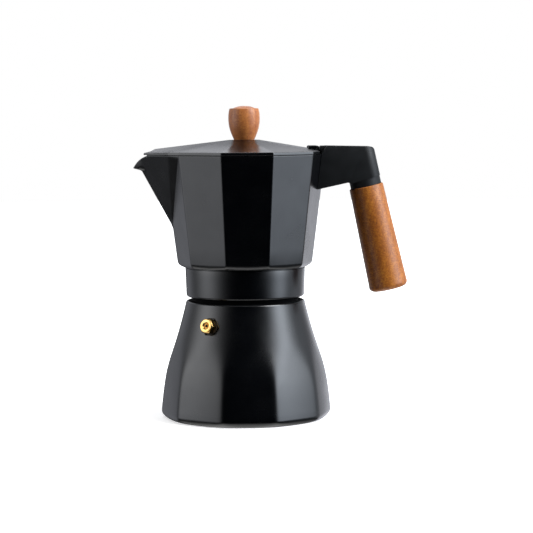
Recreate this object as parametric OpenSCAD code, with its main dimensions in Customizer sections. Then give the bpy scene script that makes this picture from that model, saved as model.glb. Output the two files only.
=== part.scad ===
// Stove-top moka pot with a ten-sided boiler and collector, a hinged lid and a wooden grip and knob.
// Millimetres. Origin at the centre of the base on the hob, +Z up, spout towards -X, handle towards +X.

/* [Boiler] */
// Radius to the corners at the widest level of the boiler
base_r = 53.3; // [49:0.1:66]
// Height of the boiler's shoulder above the hob
boiler_h = 73.8; // [60:0.1:92]
// Wall of the boiler
boiler_wall = 3; // [2.4:0.1:4]
// Floor of the boiler
boiler_floor = 4; // [3:0.1:6]
// Width of the rounded lower edge
base_edge_w = 5.9; // [3:0.1:8]
// Height of the rounded lower edge
base_edge_h = 4.6; // [3:0.1:7]
// Radius of the shoulder's top edge
shoulder_round = 1.3; // [0.6:0.1:1.8]
// Outside radius of the screwed neck
neck_r = 33.6; // [28:0.1:40.5]
// Height of the neck above the shoulder
neck_h = 14.6; // [12:0.1:18]
// Wall of the neck
neck_wall = 3.6; // [3:0.1:4.5]

/* [Safety valve] */
// Height at which the valve's axis meets the wall
valve_z = 60.4; // [50:0.1:64]
// Turn of the valve round the pot, from the +X axis
valve_turn = 235.5; // [200:0.5:250]
// Hexagon of the valve across its flats
valve_hex = 8.4; // [7:0.1:10]
// Height of the hexagon
valve_hex_h = 5.2; // [4:0.1:7]
// Radius of the valve's shank
valve_shank_r = 3; // [2.6:0.1:3.4]
// Length of the shank behind the hexagon
valve_shank_l = 9.6; // [8:0.1:12]
// Radius of the spring chamber
valve_chamber_r = 2.1; // [1.9:0.1:2.2]
// Radius of the plunger's stem
valve_stem_r = 0.7; // [0.5:0.05:0.8]
// Travel of the plunger when the valve blows
valve_travel = 1; // [0.5:0.1:1.2]

/* [Funnel and seal] */
// Depth of the coffee basket below its flange
basket_depth = 25.4; // [18:0.1:30]
// Sheet of the basket
basket_wall = 1; // [0.8:0.1:1.4]
// Thickness of the basket's flange
flange_t = 0.8; // [0.6:0.1:1.2]
// Radial play between the basket and the neck
basket_play = 0.6; // [0.4:0.05:1]
// Radius of the riser tube below the basket
tube_r = 5; // [4.5:0.1:6]
// Wall of the riser tube
tube_wall = 0.8; // [0.6:0.05:1]
// Space between the riser tube and the boiler's floor
tube_gap = 4; // [3:0.1:8]
// Diameter of the holes in the sieve and the filter plate
hole_d = 1.4; // [1:0.1:1.6]
// Rings of holes in the sieve and the filter plate
hole_rings = 5; // [3:1:6]
// Thickness of the sealing ring
gasket_t = 3.4; // [3:0.1:4.5]
// Width of the sealing ring
gasket_w = 6.2; // [5:0.1:7]

/* [Collector] */
// Radial play between the neck and the collar
thread_play = 0.25; // [0.15:0.05:0.4]
// Wall of the collar at its lower edge
collar_wall = 3.2; // [2.6:0.1:4]
// Height of the collar
collar_h = 18.3; // [17:0.1:22]
// Space between the shoulder and the collar
collar_gap = 2.5; // [1.5:0.1:4]
// How far the shoulder stands out past the collar
shoulder_step = 0.35; // [0:0.05:1]
// Distance from the collar to the vessel's lower corners
ledge_w = 4.4; // [3.4:0.1:8]
// Height of the vessel's rounded lower edge
ledge_edge_h = 3.4; // [2:0.1:5]
// Height of the vessel from the collar to the rim
vessel_h = 69.9; // [56:0.1:86]
// Lean of the vessel's corners
flank_deg = 7.2; // [4:0.1:10]
// Wall of the vessel
vessel_wall = 2.2; // [1.8:0.1:3]
// Floor of the vessel
vessel_floor = 3.6; // [3:0.1:5]
// How far the spout reaches past the rim's corners
spout_reach = 18.7; // [12:0.1:24]
// How far below the rim the spout's keel starts
spout_drop = 44.7; // [35:0.1:52]
// Radius of the spout's falling edge, seen from the side
spout_arc_r = 13; // [11:0.1:15]
// Height of the coffee column above the vessel's floor
column_h = 50; // [38:0.5:60]
// Radius of the column's bore
column_bore_r = 3.2; // [2.6:0.1:3.6]

/* [Lid] */
// Rise of the lid from its lip to the flat under the knob
lid_rise = 7.1; // [5:0.1:10]
// Height of the lid's lip
lip_h = 1.8; // [1.4:0.1:2.6]
// Sheet of the lid
lid_wall = 1.7; // [1.4:0.1:2.2]
// Space between the rim and the lid
lid_gap = 0.3; // [0.2:0.05:0.6]
// Radius of the flat under the knob
lid_flat_r = 9.5; // [8:0.1:12]
// Length of the lid's beak past the rim's corners
beak_reach = 11.9; // [8:0.1:14]
// Distance of the hinge pin inside the rim's corner
hinge_in = 5.8; // [5.4:0.1:6.6]
// Height of the hinge pin above the rim
hinge_up = 3.5; // [3.4:0.1:4.5]
// Radius of the hinge pin
pin_r = 1; // [0.8:0.05:1.1]
// Metal round the hinge pin
knuckle_wall = 0.85; // [0.8:0.05:1]
// Width of each of the lid's two ears
ear_w = 4.6; // [3:0.1:6]

/* [Handle] */
// Thickness of the cast tongue that carries the handle
tongue_t = 6; // [5:0.1:7]
// Length of the tongue past the rim's corner
tongue_l = 11.2; // [9:0.1:14]
// Width of the handle bracket
bracket_w = 20; // [17:0.1:22]
// Height of the bracket's top above the rim
bracket_up = 5.2; // [4.8:0.1:6]
// Height of the bracket at its end inside the rim's corner
bracket_h = 27.6; // [25:0.1:32]
// Distance of the grip's top end from the rim's corner
grip_out = 25.5; // [22:0.1:32]
// Depth of the grip's top end below the rim
grip_down = 20.3; // [19:0.1:24]
// Lean of the grip
grip_tilt = 12.5; // [8:0.5:16]
// Length of the grip
grip_l = 66.3; // [54:0.1:80]
// Radius of the grip at its top end
grip_top_r = 10.7; // [9.5:0.1:12]
// Radius of the grip at its lower end
grip_end_r = 12.2; // [10.5:0.1:14]
// Step from the wood in to the bracket's stub
stub_step = 0.95; // [0.5:0.05:1.5]

/* [Knob] */
// Largest radius of the knob
knob_r = 9.8; // [8:0.1:11.5]
// Height of the knob
knob_h = 21; // [17.5:0.1:25]
// Height of the knob's widest level
knob_belly_z = 13; // [11:0.1:15]
// Radius of the knob's bulged side
knob_belly_r = 26; // [22:0.5:40]

/* [Hidden] */
$fn = 64;

// The pot has ten equal sides, with a corner on +X and one on -X.
sides = 10;
sector = 360 / sides;
half = sector / 2;
eps = 0.01;
over = 1;

// Levels and radii that follow from the sizes above.
neck_bore_r = neck_r - neck_wall;
neck_top = boiler_h + neck_h;
flange_top = neck_top + flange_t;
ceiling_z = flange_top + gasket_t;
collar_bore_r = neck_r + thread_play;
collar_r = collar_bore_r + collar_wall;
collar_draft = 0.55;
collar_round = 1.6;
collar_z = boiler_h + collar_gap;
collar_top_r = collar_r + collar_draft;
shoulder_r = collar_r + shoulder_step;
vessel_z = collar_z + collar_h + 0.4;
floor_z = ceiling_z + vessel_floor;
vessel_r = collar_top_r + ledge_w;
rim_z = vessel_z + vessel_h;
rim_r = vessel_r + vessel_h * tan(flank_deg);

// Finishes.
lacquer = "#17191c";
aluminium = "#b9bcc0";
brass = "#c9a24a";
steel = "#c8ccd0";
rubber = "#e6e2d8";
plastic = "#1d1f22";
timber = "#a5673a";

// ---------- shared functions ----------

function mix(a, b, t) = a + (b - a) * t;
function smooth(t) = let (u = min(1, max(0, t))) u * u * (3 - 2 * u);
function bezier(a, b, c, d, t) =
    a * pow(1 - t, 3) + 3 * b * t * pow(1 - t, 2) + 3 * c * t * t * (1 - t) + d * pow(t, 3);
function turned(r, a) = [r * cos(a), r * sin(a)];
function lifted(points, z) = [for (q = points) [q[0], q[1], z]];

// Skin over a stack of rings, each with as many points as the next, lowest ring first.
module loft(rings) {
    n = len(rings[0]);
    last = (len(rings) - 1) * n;
    skin = [
        for (j = [0 : len(rings) - 2])
            for (i = [0 : n - 1])
                let (a = j * n + i, b = j * n + (i + 1) % n)
                    each [[a, a + n, b + n], [a, b + n, b]]
    ];
    polyhedron(
        points = [for (ring = rings) each ring],
        faces = concat([[for (i = [0 : n - 1]) i]], skin, [[for (i = [n - 1 : -1 : 0]) last + i]]),
        convexity = 8
    );
}

// Upright plate in the XZ plane, centred on Y.
module side_plate(width) {
    translate([0, width / 2, 0])
        rotate([90, 0, 0])
            linear_extrude(width) children();
}

// ---------- boiler ----------

// The boiler is ten-sided below and round at the shoulder. The sharpness is the power of the mean that
// joins the ten flat sides: a low power gives a circle and a high one gives crisp corners.
round_power = 9;
crisp_power = 130;
crisp_below = 0.36;
round_above = 0.86;
sector_steps = [0, 1.2, 4, 10, 18, 26, 32, 34.8];

function side_sum(a, p) = let (c = [for (k = [-2 : 2]) pow(max(cos(a - sector * k), 0), p)])
    c[0] + c[1] + c[2] + c[3] + c[4];
function blend_r(corner_r, a, p) = corner_r * pow(side_sum(half, p) / side_sum(a, p), 1 / p);
function blend_ring(corner_r, z, p) = [
    for (k = [0 : sides - 1])
        for (a = sector_steps)
            let (q = turned(blend_r(corner_r, a - half, p), sector * k + a)) [q[0], q[1], z]
];
function boiler_power(z) =
    let (t = smooth((round_above - z / boiler_h) / (round_above - crisp_below)))
        round_power * pow(crisp_power / round_power, t);

// Side of the boiler, from its widest level (t = 0) up to the shoulder (t = 1).
side_top_z = boiler_h - shoulder_round;
function side_r(t) = bezier(
    base_r, mix(shoulder_r, base_r, 0.8), mix(shoulder_r, base_r, 0.594), shoulder_r, t);
function side_z(t) = bezier(
    base_edge_h, mix(base_edge_h, side_top_z, 0.542), mix(base_edge_h, side_top_z, 0.42), side_top_z, t);
side_steps = [for (i = [0 : 12]) i / 12];

function edge_power(a) = round_power * pow(crisp_power / round_power, 1 - smooth(a / 90));
function boiler_rings() = concat(
    [
        for (a = [90, 62, 38, 17])
            blend_ring(base_r - base_edge_w * (1 - cos(a)), base_edge_h * (1 - sin(a)), edge_power(a))
    ],
    [for (t = side_steps) blend_ring(side_r(t), side_z(t), boiler_power(side_z(t)))],
    [
        for (a = [30, 60, 90])
            blend_ring(shoulder_r - shoulder_round * (1 - cos(a)), side_top_z + shoulder_round * sin(a),
                round_power)
    ]
);

// The inside is turned: it keeps the wall behind the flats of the outside.
cavity_round = 3.5;
cavity_steps = [for (i = [0 : 11]) i / 12];
function flat_r(t) = blend_r(side_r(t), 0, boiler_power(side_z(t)));

module boiler_cavity() {
    foot_r = flat_r(0) - boiler_wall;
    rotate_extrude($fn = 96)
        polygon(concat(
            [[0, boiler_floor], [foot_r - cavity_round, boiler_floor]],
            [for (t = cavity_steps) [flat_r(t) - boiler_wall, max(side_z(t), boiler_floor + 0.4) + 2 * (1 - t)]],
            [[neck_bore_r, boiler_h - boiler_wall], [neck_bore_r, neck_top + over], [0, neck_top + over]]
        ));
}

// Frame of the valve: origin on the boiler's wall, +Z straight out of it.
wall_table = [for (t = side_steps) [side_z(t), side_r(t)]];
valve_wall_r = lookup(valve_z, wall_table);
valve_tilt = atan(lookup(valve_z - 1, wall_table) - lookup(valve_z + 1, wall_table)) / 2;
spot_depth = 1;
valve_washer_t = 0.8;
valve_boss_r = 5.2;
valve_boss_l = 6.4;
shank_play = 0.05;

module at_valve() {
    rotate([0, 0, valve_turn])
        translate([valve_wall_r, 0, valve_z])
            rotate([0, 90 - valve_tilt, 0]) children();
}

module boiler() {
    color(lacquer)
    difference() {
        union() {
            difference() {
                union() {
                    loft(boiler_rings());
                    translate([0, 0, boiler_h - over]) cylinder(r = neck_r, h = neck_h + over, $fn = 96);
                }
                boiler_cavity();
            }
            at_valve()
                translate([0, 0, -valve_boss_l]) cylinder(r = valve_boss_r, h = valve_boss_l - 2);
        }
        at_valve() {
            translate([0, 0, -spot_depth]) cylinder(r = valve_hex * 0.62, h = 6);
            translate([0, 0, -valve_shank_l - over])
                cylinder(r = valve_shank_r + shank_play, h = valve_shank_l + 2 * over);
        }
    }
}

// ---------- safety valve ----------

hex_z = valve_washer_t - spot_depth;
seat_z = hex_z - valve_shank_l + 2.4;
cap_t = 1;
recess_d = 0.9;
cap_z = hex_z + valve_hex_h - recess_d - cap_t;
plunger_head_h = 1.2;
spring_play = 0.05;
spring_turns = 5;
spring_wire_r = 0.22;
spring_coil_r = 1.45;
relief_r = 1.1;

module valve_body() {
    color(brass)
    at_valve()
        difference() {
            union() {
                translate([0, 0, hex_z])
                    intersection() {
                        cylinder(r = valve_hex / 2 / cos(30), h = valve_hex_h, $fn = 6);
                        translate([0, 0, -over])
                            cylinder(r1 = valve_hex * 0.9, r2 = valve_hex / 2 - 0.25, h = valve_hex_h + over + 0.9);
                    }
                translate([0, 0, hex_z - valve_shank_l]) cylinder(r = valve_shank_r, h = valve_shank_l + eps);
            }
            translate([0, 0, seat_z]) cylinder(r = valve_chamber_r, h = valve_hex_h + valve_shank_l);
            translate([0, 0, hex_z - valve_shank_l - over]) cylinder(r = relief_r, h = valve_shank_l);
        }
}

module valve_washer() {
    color("#241b17")
    at_valve()
        translate([0, 0, -spot_depth])
            difference() {
                cylinder(r = valve_hex * 0.58, h = valve_washer_t);
                translate([0, 0, -over]) cylinder(r = valve_shank_r + shank_play, h = valve_washer_t + 2 * over);
            }
}

module valve_plunger() {
    color(steel)
    at_valve() {
        translate([0, 0, seat_z]) cylinder(r = valve_chamber_r - 0.15, h = plunger_head_h);
        translate([0, 0, seat_z + plunger_head_h - eps])
            cylinder(r = valve_stem_r, h = cap_z + cap_t - seat_z - plunger_head_h + 0.4, $fn = 32);
    }
}

// The spring's coils are modelled as a stack of rings of the wire's size.
module valve_spring() {
    spring_z = seat_z + plunger_head_h + spring_play;
    spring_l = cap_z - spring_z - spring_play;
    pitch = (spring_l - 2 * spring_wire_r) / (spring_turns - 1);
    color(steel)
    at_valve()
        for (i = [0 : spring_turns - 1])
            translate([0, 0, spring_z + spring_wire_r + i * pitch])
                rotate_extrude($fn = 48)
                    translate([spring_coil_r, 0]) circle(r = spring_wire_r, $fn = 16);
}

module valve_cap() {
    color(brass)
    at_valve()
        translate([0, 0, cap_z])
            difference() {
                cylinder(r = valve_chamber_r - 0.02, h = cap_t);
                translate([0, 0, -over]) cylinder(r = valve_stem_r + 0.2, h = cap_t + 2 * over, $fn = 32);
            }
}

// ---------- funnel ----------

basket_r = neck_bore_r - basket_play;
flange_r = neck_r - 1;
sieve_z = neck_top - basket_depth + basket_wall;
sieve_t = 0.7;
sieve_ledge = 1.6;
cone_top_z = sieve_z - basket_wall;
tube_z = boiler_floor + tube_gap;
sleeve_l = 5;
cone_end_z = cone_top_z - 12;
sleeve_z = cone_end_z - sleeve_l;
tube_fit = 0.02;

module funnel_basket() {
    inner_r = basket_r - basket_wall;
    hole_r = inner_r - sieve_ledge;
    sleeve_r = tube_r + tube_fit;
    color(aluminium)
    rotate_extrude($fn = 96)
        polygon([
            [flange_r, neck_top], [flange_r, flange_top], [inner_r, flange_top], [inner_r, sieve_z],
            [hole_r, sieve_z], [hole_r, cone_top_z], [sleeve_r, cone_end_z], [sleeve_r, sleeve_z],
            [sleeve_r + basket_wall, sleeve_z], [sleeve_r + basket_wall, cone_end_z - 0.4],
            [hole_r + basket_wall, cone_top_z - basket_wall], [basket_r - 0.6, cone_top_z - basket_wall],
            [basket_r, cone_top_z], [basket_r, neck_top]
        ]);
}

// Rings of holes, six in the first ring and six more in each one after it.
module hole_pattern(pitch, rings, t) {
    for (i = [0 : rings])
        for (k = [0 : max(1, 6 * i) - 1])
            rotate([0, 0, 360 * k / max(1, 6 * i)])
                translate([pitch * i, 0, -over]) cylinder(d = hole_d, h = t + 2 * over, $fn = 16);
}

module funnel_sieve() {
    r = basket_r - basket_wall - 0.3;
    color(aluminium)
    translate([0, 0, sieve_z])
        difference() {
            cylinder(r = r, h = sieve_t, $fn = 96);
            hole_pattern((r - sieve_ledge - hole_d) / hole_rings, hole_rings, sieve_t);
        }
}

module funnel_tube() {
    color(aluminium)
    translate([0, 0, tube_z])
        difference() {
            cylinder(r = tube_r, h = cone_end_z - tube_z);
            translate([0, 0, -over]) cylinder(r = tube_r - tube_wall, h = cone_end_z - tube_z + 2 * over);
        }
}

// ---------- seal ----------

gasket_r = neck_r - 1.2;
gasket_step_w = 1.5;
gasket_step_h = 1.2;
plate_r = gasket_r - gasket_w + gasket_step_w - 0.1;
plate_t = 0.8;

module gasket() {
    inner_r = gasket_r - gasket_w;
    color(rubber)
    rotate_extrude($fn = 96)
        polygon([
            [inner_r, flange_top], [gasket_r, flange_top], [gasket_r, ceiling_z],
            [inner_r + gasket_step_w, ceiling_z], [inner_r + gasket_step_w, flange_top + gasket_step_h],
            [inner_r, flange_top + gasket_step_h]
        ]);
}

module filter_plate() {
    color(aluminium)
    translate([0, 0, flange_top + gasket_step_h])
        difference() {
            cylinder(r = plate_r, h = gasket_t - gasket_step_h, $fn = 96);
            translate([0, 0, plate_t]) cylinder(r = plate_r - 1, h = gasket_t, $fn = 96);
            hole_pattern((plate_r - 3.4 - hole_d) / hole_rings, hole_rings, plate_t);
        }
}

// ---------- collector ----------

// The rim's outline leaves the decagon at the corner beside the spout, runs on to a second corner
// and then straight to the tip. Lower down it shrinks evenly to the corner where the keel starts.
keel_z = rim_z - spout_drop;
spout_corner_l = 8.3;
spout_corner_deg = 40;
lip_z = rim_z - 7.9;
lip_flare_h = 2.3;
lip_share = 0.82;
foot_step = 0.7;
inner_edge = 4;
side_angles = [0 : 6 : 30];
spout_angles = [33, 34.5, 35.4];

function corner_r(z) = vessel_r + (z - vessel_z) * tan(flank_deg);
function keel_x(z) = mix(corner_r(keel_z), rim_r + spout_reach, (z - keel_z) / spout_drop);
function mirrored(points) = [for (i = [len(points) - 1 : -1 : 0]) [points[i][0], -points[i][1]]];

// Radius of a decagon over the radius to its corners, at an angle from a corner.
function flat_share(a) = cos(half) / cos(a - half);

// Half of the spout side, from the corner beside the spout to just before its tip, on the +Y side.
// Below the keel it follows the decagon, drawn in to a circle of radius "foot" as "s" falls to 0.
function plain_half(r, foot, s) =
    [for (a = concat([for (i = side_angles) i], spout_angles))
        turned(foot + (r * flat_share(a) - foot) * s, 4 * sector + a)];
function spout_half(z, inset) =
    let (
        start_z = keel_z + inset,
        t = (z - start_z) / (rim_z - start_z),
        back = inset / cos(half),
        r = corner_r(z) - back,
        foot = [-(corner_r(start_z) - back), 0],
        far = turned(rim_r, 4 * sector) + spout_corner_l * [-cos(spout_corner_deg), -sin(spout_corner_deg)],
        near = turned(r, 4 * sector),
        meet = mix([-r, 0], near, min(0.985, t * (rim_r - back) / r)),
        side = mix(foot, far + [cos(45), -sin(45)] * inset, t),
        keel = [-(keel_x(z) - 1.36 * inset), 0]
    )
    concat([for (i = [0 : 5]) mix(near, meet, i / 6)], [meet, side, mix(side, keel, lip_share)]);

// The whole outline at one level: round the sides, along one side of the spout to its tip and back.
function vessel_ring(z, r, foot, s, spout_side, tip_x) = lifted(concat(
    [for (k = [0 : 3]) for (a = side_angles) turned(foot + (r * flat_share(a) - foot) * s, sector * k + a)],
    spout_side, [[-tip_x, 0]], mirrored([for (i = [1 : len(spout_side) - 1]) spout_side[i]]),
    [for (k = [6 : 9]) for (a = side_angles) turned(foot + (r * flat_share(a) - foot) * s, sector * k + a)]
), z);
function plain_ring(z, r, foot, s) = vessel_ring(z, r, foot, s, plain_half(r, foot, s), foot + (r - foot) * s);

// The keel's line runs out to the tip of the lip over "flare_h" and stays level from "level_z" up.
function keel_run(z, line, end, level_z, flare_h) =
    mix(line, max(line, end), pow(smooth((z - level_z + flare_h) / flare_h), 2));
function outer_ring(z) = z <= keel_z
    ? plain_ring(z, corner_r(z), 0, 1)
    : vessel_ring(z, corner_r(z), 0, 1, spout_half(z, 0),
        keel_run(z, keel_x(z), rim_r + spout_reach + 0.2, lip_z, lip_flare_h));
function inner_ring(z) =
    let (r = corner_r(z) - vessel_wall / cos(half))
        z <= keel_z + vessel_wall
            ? plain_ring(z, r, 0, 1)
            : vessel_ring(z, r, 0, 1, spout_half(z, vessel_wall),
                keel_run(z, keel_x(z) - 1.36 * vessel_wall, rim_r + spout_reach + 2, lip_z + 2, 1.2));

module vessel_outside() {
    foot = collar_top_r + foot_step;
    loft(concat(
        [
            for (a = [0, 25, 50, 72])
                let (z = vessel_z + ledge_edge_h * (1 - cos(a))) plain_ring(z, corner_r(z), foot, sin(a))
        ],
        [for (z = [vessel_z + ledge_edge_h, keel_z, keel_z + 1]) outer_ring(z)],
        [for (i = [1 : 4]) outer_ring(mix(keel_z, lip_z - lip_flare_h, i / 4))],
        [for (i = [1 : 4]) outer_ring(lip_z - lip_flare_h * (1 - i / 4))],
        [outer_ring(rim_z)]
    ));
}

module vessel_inside() {
    start_z = keel_z + vessel_wall;
    loft(concat(
        [
            for (a = [0, 30, 60])
                let (z = floor_z + inner_edge * (1 - cos(a)), r = corner_r(z) - vessel_wall / cos(half))
                    plain_ring(z, r, vessel_r - vessel_wall - 1.2 * inner_edge, sin(a))
        ],
        [for (z = [floor_z + inner_edge, start_z, start_z + 1]) inner_ring(z)],
        [for (i = [1 : 3]) inner_ring(mix(start_z, lip_z + 0.8, i / 3))],
        [for (z = [lip_z + 1.2, lip_z + 1.6, lip_z + 2]) inner_ring(z)],
        [inner_ring(rim_z + over)]
    ));
}

// What is taken off the spout so that its edge falls in an arc to the tip.
module spout_trim() {
    arc_x = rim_r + spout_reach - spout_arc_r + 0.8;
    translate([-arc_x, 0, rim_z - spout_arc_r + eps])
        difference() {
            translate([-2 * spout_arc_r, -rim_r, 0]) cube([2 * spout_arc_r, 2 * rim_r, spout_arc_r + over]);
            rotate([90, 0, 0]) cylinder(r = spout_arc_r, h = 2 * rim_r + 2, center = true, $fn = 96);
        }
}

module collar() {
    rotate_extrude($fn = 96)
        polygon(concat(
            [[collar_bore_r, collar_z]],
            [
                for (a = [0 : 18 : 90])
                    [collar_r - collar_round * (1 - sin(a)), collar_z + collar_round * (1 - cos(a))]
            ],
            [
                [collar_top_r, vessel_z - 0.8], [collar_top_r - 0.5, vessel_z - 0.4],
                [collar_top_r - 0.5, vessel_z + 0.6], [0, vessel_z + 0.6], [0, ceiling_z],
                [collar_bore_r, ceiling_z]
            ]
        ));
}

// Column that the coffee rises through. It is closed on top, has a slot on each side and is pressed
// into the vessel's floor by a short spigot.
column_foot_r = 8.6;
column_top_r = 5.9;
column_cap_h = 3;
column_spigot_r = 5;
column_fit = 0.02;
slot_w = 4.4;
slot_h = 10;
ceiling_dish_h = 1.6;
ceiling_dish_r = 20;

module coffee_column() {
    spigot_z = ceiling_z + ceiling_dish_h;
    color(aluminium)
    difference() {
        union() {
            translate([0, 0, spigot_z]) cylinder(r = column_spigot_r, h = floor_z - spigot_z + eps);
            translate([0, 0, floor_z]) cylinder(r1 = column_foot_r, r2 = column_top_r, h = column_h);
            translate([0, 0, floor_z + column_h - eps])
                cylinder(r1 = column_top_r, r2 = column_top_r - 2.2, h = column_cap_h);
        }
        translate([0, 0, spigot_z - over])
            cylinder(r = column_bore_r, h = floor_z + column_h - 2 - spigot_z + over);
        translate([-column_foot_r, -slot_w / 2, floor_z + column_h - 2 - slot_h])
            cube([2 * column_foot_r, slot_w, slot_h]);
    }
}

// Hinge and handle side. The pin's axis lies above the rim's inner edge.
hinge_x = rim_r - hinge_in;
hinge_z = rim_z + hinge_up;
knuckle_r = pin_r + knuckle_wall;
pin_play = 0.05;
ear_gap = 0.35;
tongue_x = rim_r + tongue_l;
tongue_low_z = rim_z - 16;
tongue_high_z = hinge_z + 0.2;

module tongue() {
    side_plate(tongue_t) {
        translate([hinge_x, hinge_z]) circle(r = knuckle_r, $fn = 48);
        polygon([
            [hinge_x - knuckle_r * 0.75, hinge_z - knuckle_r * 0.66], [hinge_x + 2.4, rim_z - 5.5],
            [corner_r(tongue_low_z) - vessel_wall, tongue_low_z], [tongue_x, tongue_low_z],
            [tongue_x, tongue_high_z - 2], [tongue_x - 2, tongue_high_z], [hinge_x, tongue_high_z]
        ]);
    }
}

module collector() {
    screw_x = bracket_screw_x;
    color(lacquer)
    difference() {
        union() {
            difference() {
                union() {
                    vessel_outside();
                    collar();
                }
                vessel_inside();
                spout_trim();
            }
            tongue();
        }
        translate([0, 0, ceiling_z - over])
            cylinder(r = column_spigot_r + column_fit, h = vessel_floor + 2 * over);
        translate([0, 0, ceiling_z - eps])
            cylinder(r1 = ceiling_dish_r, r2 = column_bore_r - 0.4, h = ceiling_dish_h);
        translate([hinge_x, 0, hinge_z])
            rotate([90, 0, 0]) cylinder(r = pin_r + 0.02, h = tongue_t + 2 * over, center = true, $fn = 32);
        translate([screw_x, 0, tongue_low_z - over]) cylinder(r = screw_r + 0.02, h = screw_bite + over, $fn = 32);
    }
}

// ---------- lid ----------

lid_z = rim_z + lid_gap;
lip_z2 = lid_z + lip_h;
flat_z = lip_z2 + lid_rise;
lid_r = rim_r + 0.1;
ridge_x = rim_r + 4.8;
ridge_fall = 5.3;
beak_w = 7;
beak_drop = 0.7;
ridge_w = 1.1;

function spout_corner(r) =
    turned(r, 4 * sector) + spout_corner_l * [-cos(spout_corner_deg), -sin(spout_corner_deg)];

// One ring of the lid, from three kinds of point: the corners, the spout's side corners and the beak.
function lid_ring(r, z, side, side_z, beak, beak_z) = concat(
    [for (k = [0 : 4]) let (q = turned(r, sector * k)) [q[0], q[1], z]],
    [[side[0], side[1], side_z], [-beak[0], beak[1], beak_z], [-beak[0], -beak[1], beak_z]],
    [[side[0], -side[1], side_z]],
    [for (k = [6 : 9]) let (q = turned(r, sector * k)) [q[0], q[1], z]]
);

module lid_skin(inset, drop) {
    back = inset / cos(half);
    side = spout_corner(lid_r) + [cos(45), -sin(45)] * inset;
    flat_side = turned(lid_flat_r - inset, 4.4 * sector);
    beak_x = rim_r + beak_reach - inset * 1.1;
    beak_y = beak_w - inset * 0.6;
    near = 0.86;
    near_r = mix(lid_flat_r, lid_r, near) - back;
    near_z = mix(flat_z, lip_z2, near) - drop;
    loft([
        lid_ring(lid_r - back, lid_z - (inset > 0 ? over : 0), side, lid_z - (inset > 0 ? over : 0),
            [beak_x, beak_y], lid_z - (inset > 0 ? over : 0)),
        lid_ring(lid_r - back, lip_z2 - drop, side, lip_z2 - drop, [beak_x, beak_y], lip_z2 - beak_drop - drop),
        lid_ring(near_r, near_z, mix(flat_side, side, near), near_z,
            [ridge_x + 2.9 - inset, mix(ridge_w, beak_w, 0.3)], flat_z - ridge_fall - 1.5 - drop),
        lid_ring(near_r - 2, near_z + 2 * lid_rise / (lid_r - lid_flat_r), mix(flat_side, side, near - 0.05),
            near_z + 2 * lid_rise / (lid_r - lid_flat_r), [ridge_x - inset, ridge_w], flat_z - ridge_fall - drop),
        lid_ring(lid_flat_r - inset, flat_z - drop, flat_side, flat_z - drop,
            [lid_flat_r - inset, ridge_w], flat_z - drop)
    ]);
}

notch_x = hinge_x - 1;
notch_w = 29;
tongue_slot_x = hinge_x - knuckle_r - 0.5;
lid_boss_r = 5.6;
lid_boss_z = flat_z - 5.4;
screw_r = 1.95;

module lid_ear() {
    side_plate(ear_w) {
        translate([hinge_x, hinge_z]) circle(r = knuckle_r, $fn = 48);
        hull() {
            translate([hinge_x, hinge_z + knuckle_r - 1]) circle(r = 1, $fn = 32);
            translate([hinge_x - 4.4, hinge_z + knuckle_r - 1]) circle(r = 1, $fn = 32);
            translate([hinge_x - 5, hinge_z - 2.2]) square([4.2, 0.6]);
        }
    }
}

module lid() {
    ear_y = tongue_t / 2 + ear_gap + ear_w / 2;
    color(lacquer)
    difference() {
        union() {
            difference() {
                union() {
                    difference() {
                        lid_skin(0, 0);
                        lid_skin(lid_wall, lid_wall);
                    }
                    intersection() {
                        lid_skin(0, 0);
                        union() {
                            translate([notch_x - 3, -notch_w / 2 - 1, lid_z]) cube([8, notch_w + 2, 10]);
                            translate([0, 0, lid_boss_z]) cylinder(r = lid_boss_r, h = 10);
                        }
                    }
                }
                translate([notch_x, -notch_w / 2, lid_z - over]) cube([12, notch_w, 12]);
            }
            for (s = [-1, 1])
                translate([0, s * ear_y, 0]) lid_ear();
        }
        translate([tongue_slot_x, -tongue_t / 2 - ear_gap, lid_z - over]) cube([12, tongue_t + 2 * ear_gap, 12]);
        translate([hinge_x, 0, hinge_z])
            rotate([90, 0, 0]) cylinder(r = pin_r + pin_play, h = 40, center = true, $fn = 32);
        translate([0, 0, lid_boss_z - over]) cylinder(r = screw_r + 0.1, h = 12, $fn = 32);
    }
}

module hinge_pin() {
    length = tongue_t + 2 * ear_gap + 2 * ear_w - 0.8;
    color(steel)
    translate([hinge_x, 0, hinge_z])
        rotate([90, 0, 0]) cylinder(r = pin_r, h = length, center = true, $fn = 32);
}

// ---------- knob ----------

knob_edge_r = 0.6;
knob_dome_h = 1.5;
knob_dome_r = 6.6;
knob_screw_bite = 12;
knob_washer_t = 0.8;

function belly_r(z) = knob_r - knob_belly_r + sqrt(pow(knob_belly_r, 2) - pow(z - knob_belly_z, 2));

module knob() {
    side_h = knob_h - knob_dome_h - knob_edge_r / 2;
    top_r = belly_r(side_h) - knob_edge_r;
    dome_r = min(knob_dome_r, top_r - 0.6);
    color(timber)
    translate([0, 0, flat_z])
        difference() {
            rotate_extrude($fn = 64)
                polygon(concat(
                    [[0, 0], [belly_r(0) - 0.4, 0], [belly_r(0.4), 0.4]],
                    [for (i = [1 : 10]) let (z = side_h * i / 10) [belly_r(z), z]],
                    [for (a = [25, 50, 75]) [top_r + knob_edge_r * cos(a), side_h + knob_edge_r * sin(a)]],
                    [[dome_r + 0.4, side_h + knob_edge_r]],
                    [
                        for (s = [1, 0.75, 0.5, 0.25, 0])
                            [dome_r * s, knob_h - (knob_h - side_h - knob_edge_r - 0.1) * s * s]
                    ]
                ));
            translate([0, 0, -over]) cylinder(r = screw_r + 0.02, h = knob_screw_bite + 1 + over, $fn = 32);
        }
}

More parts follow.
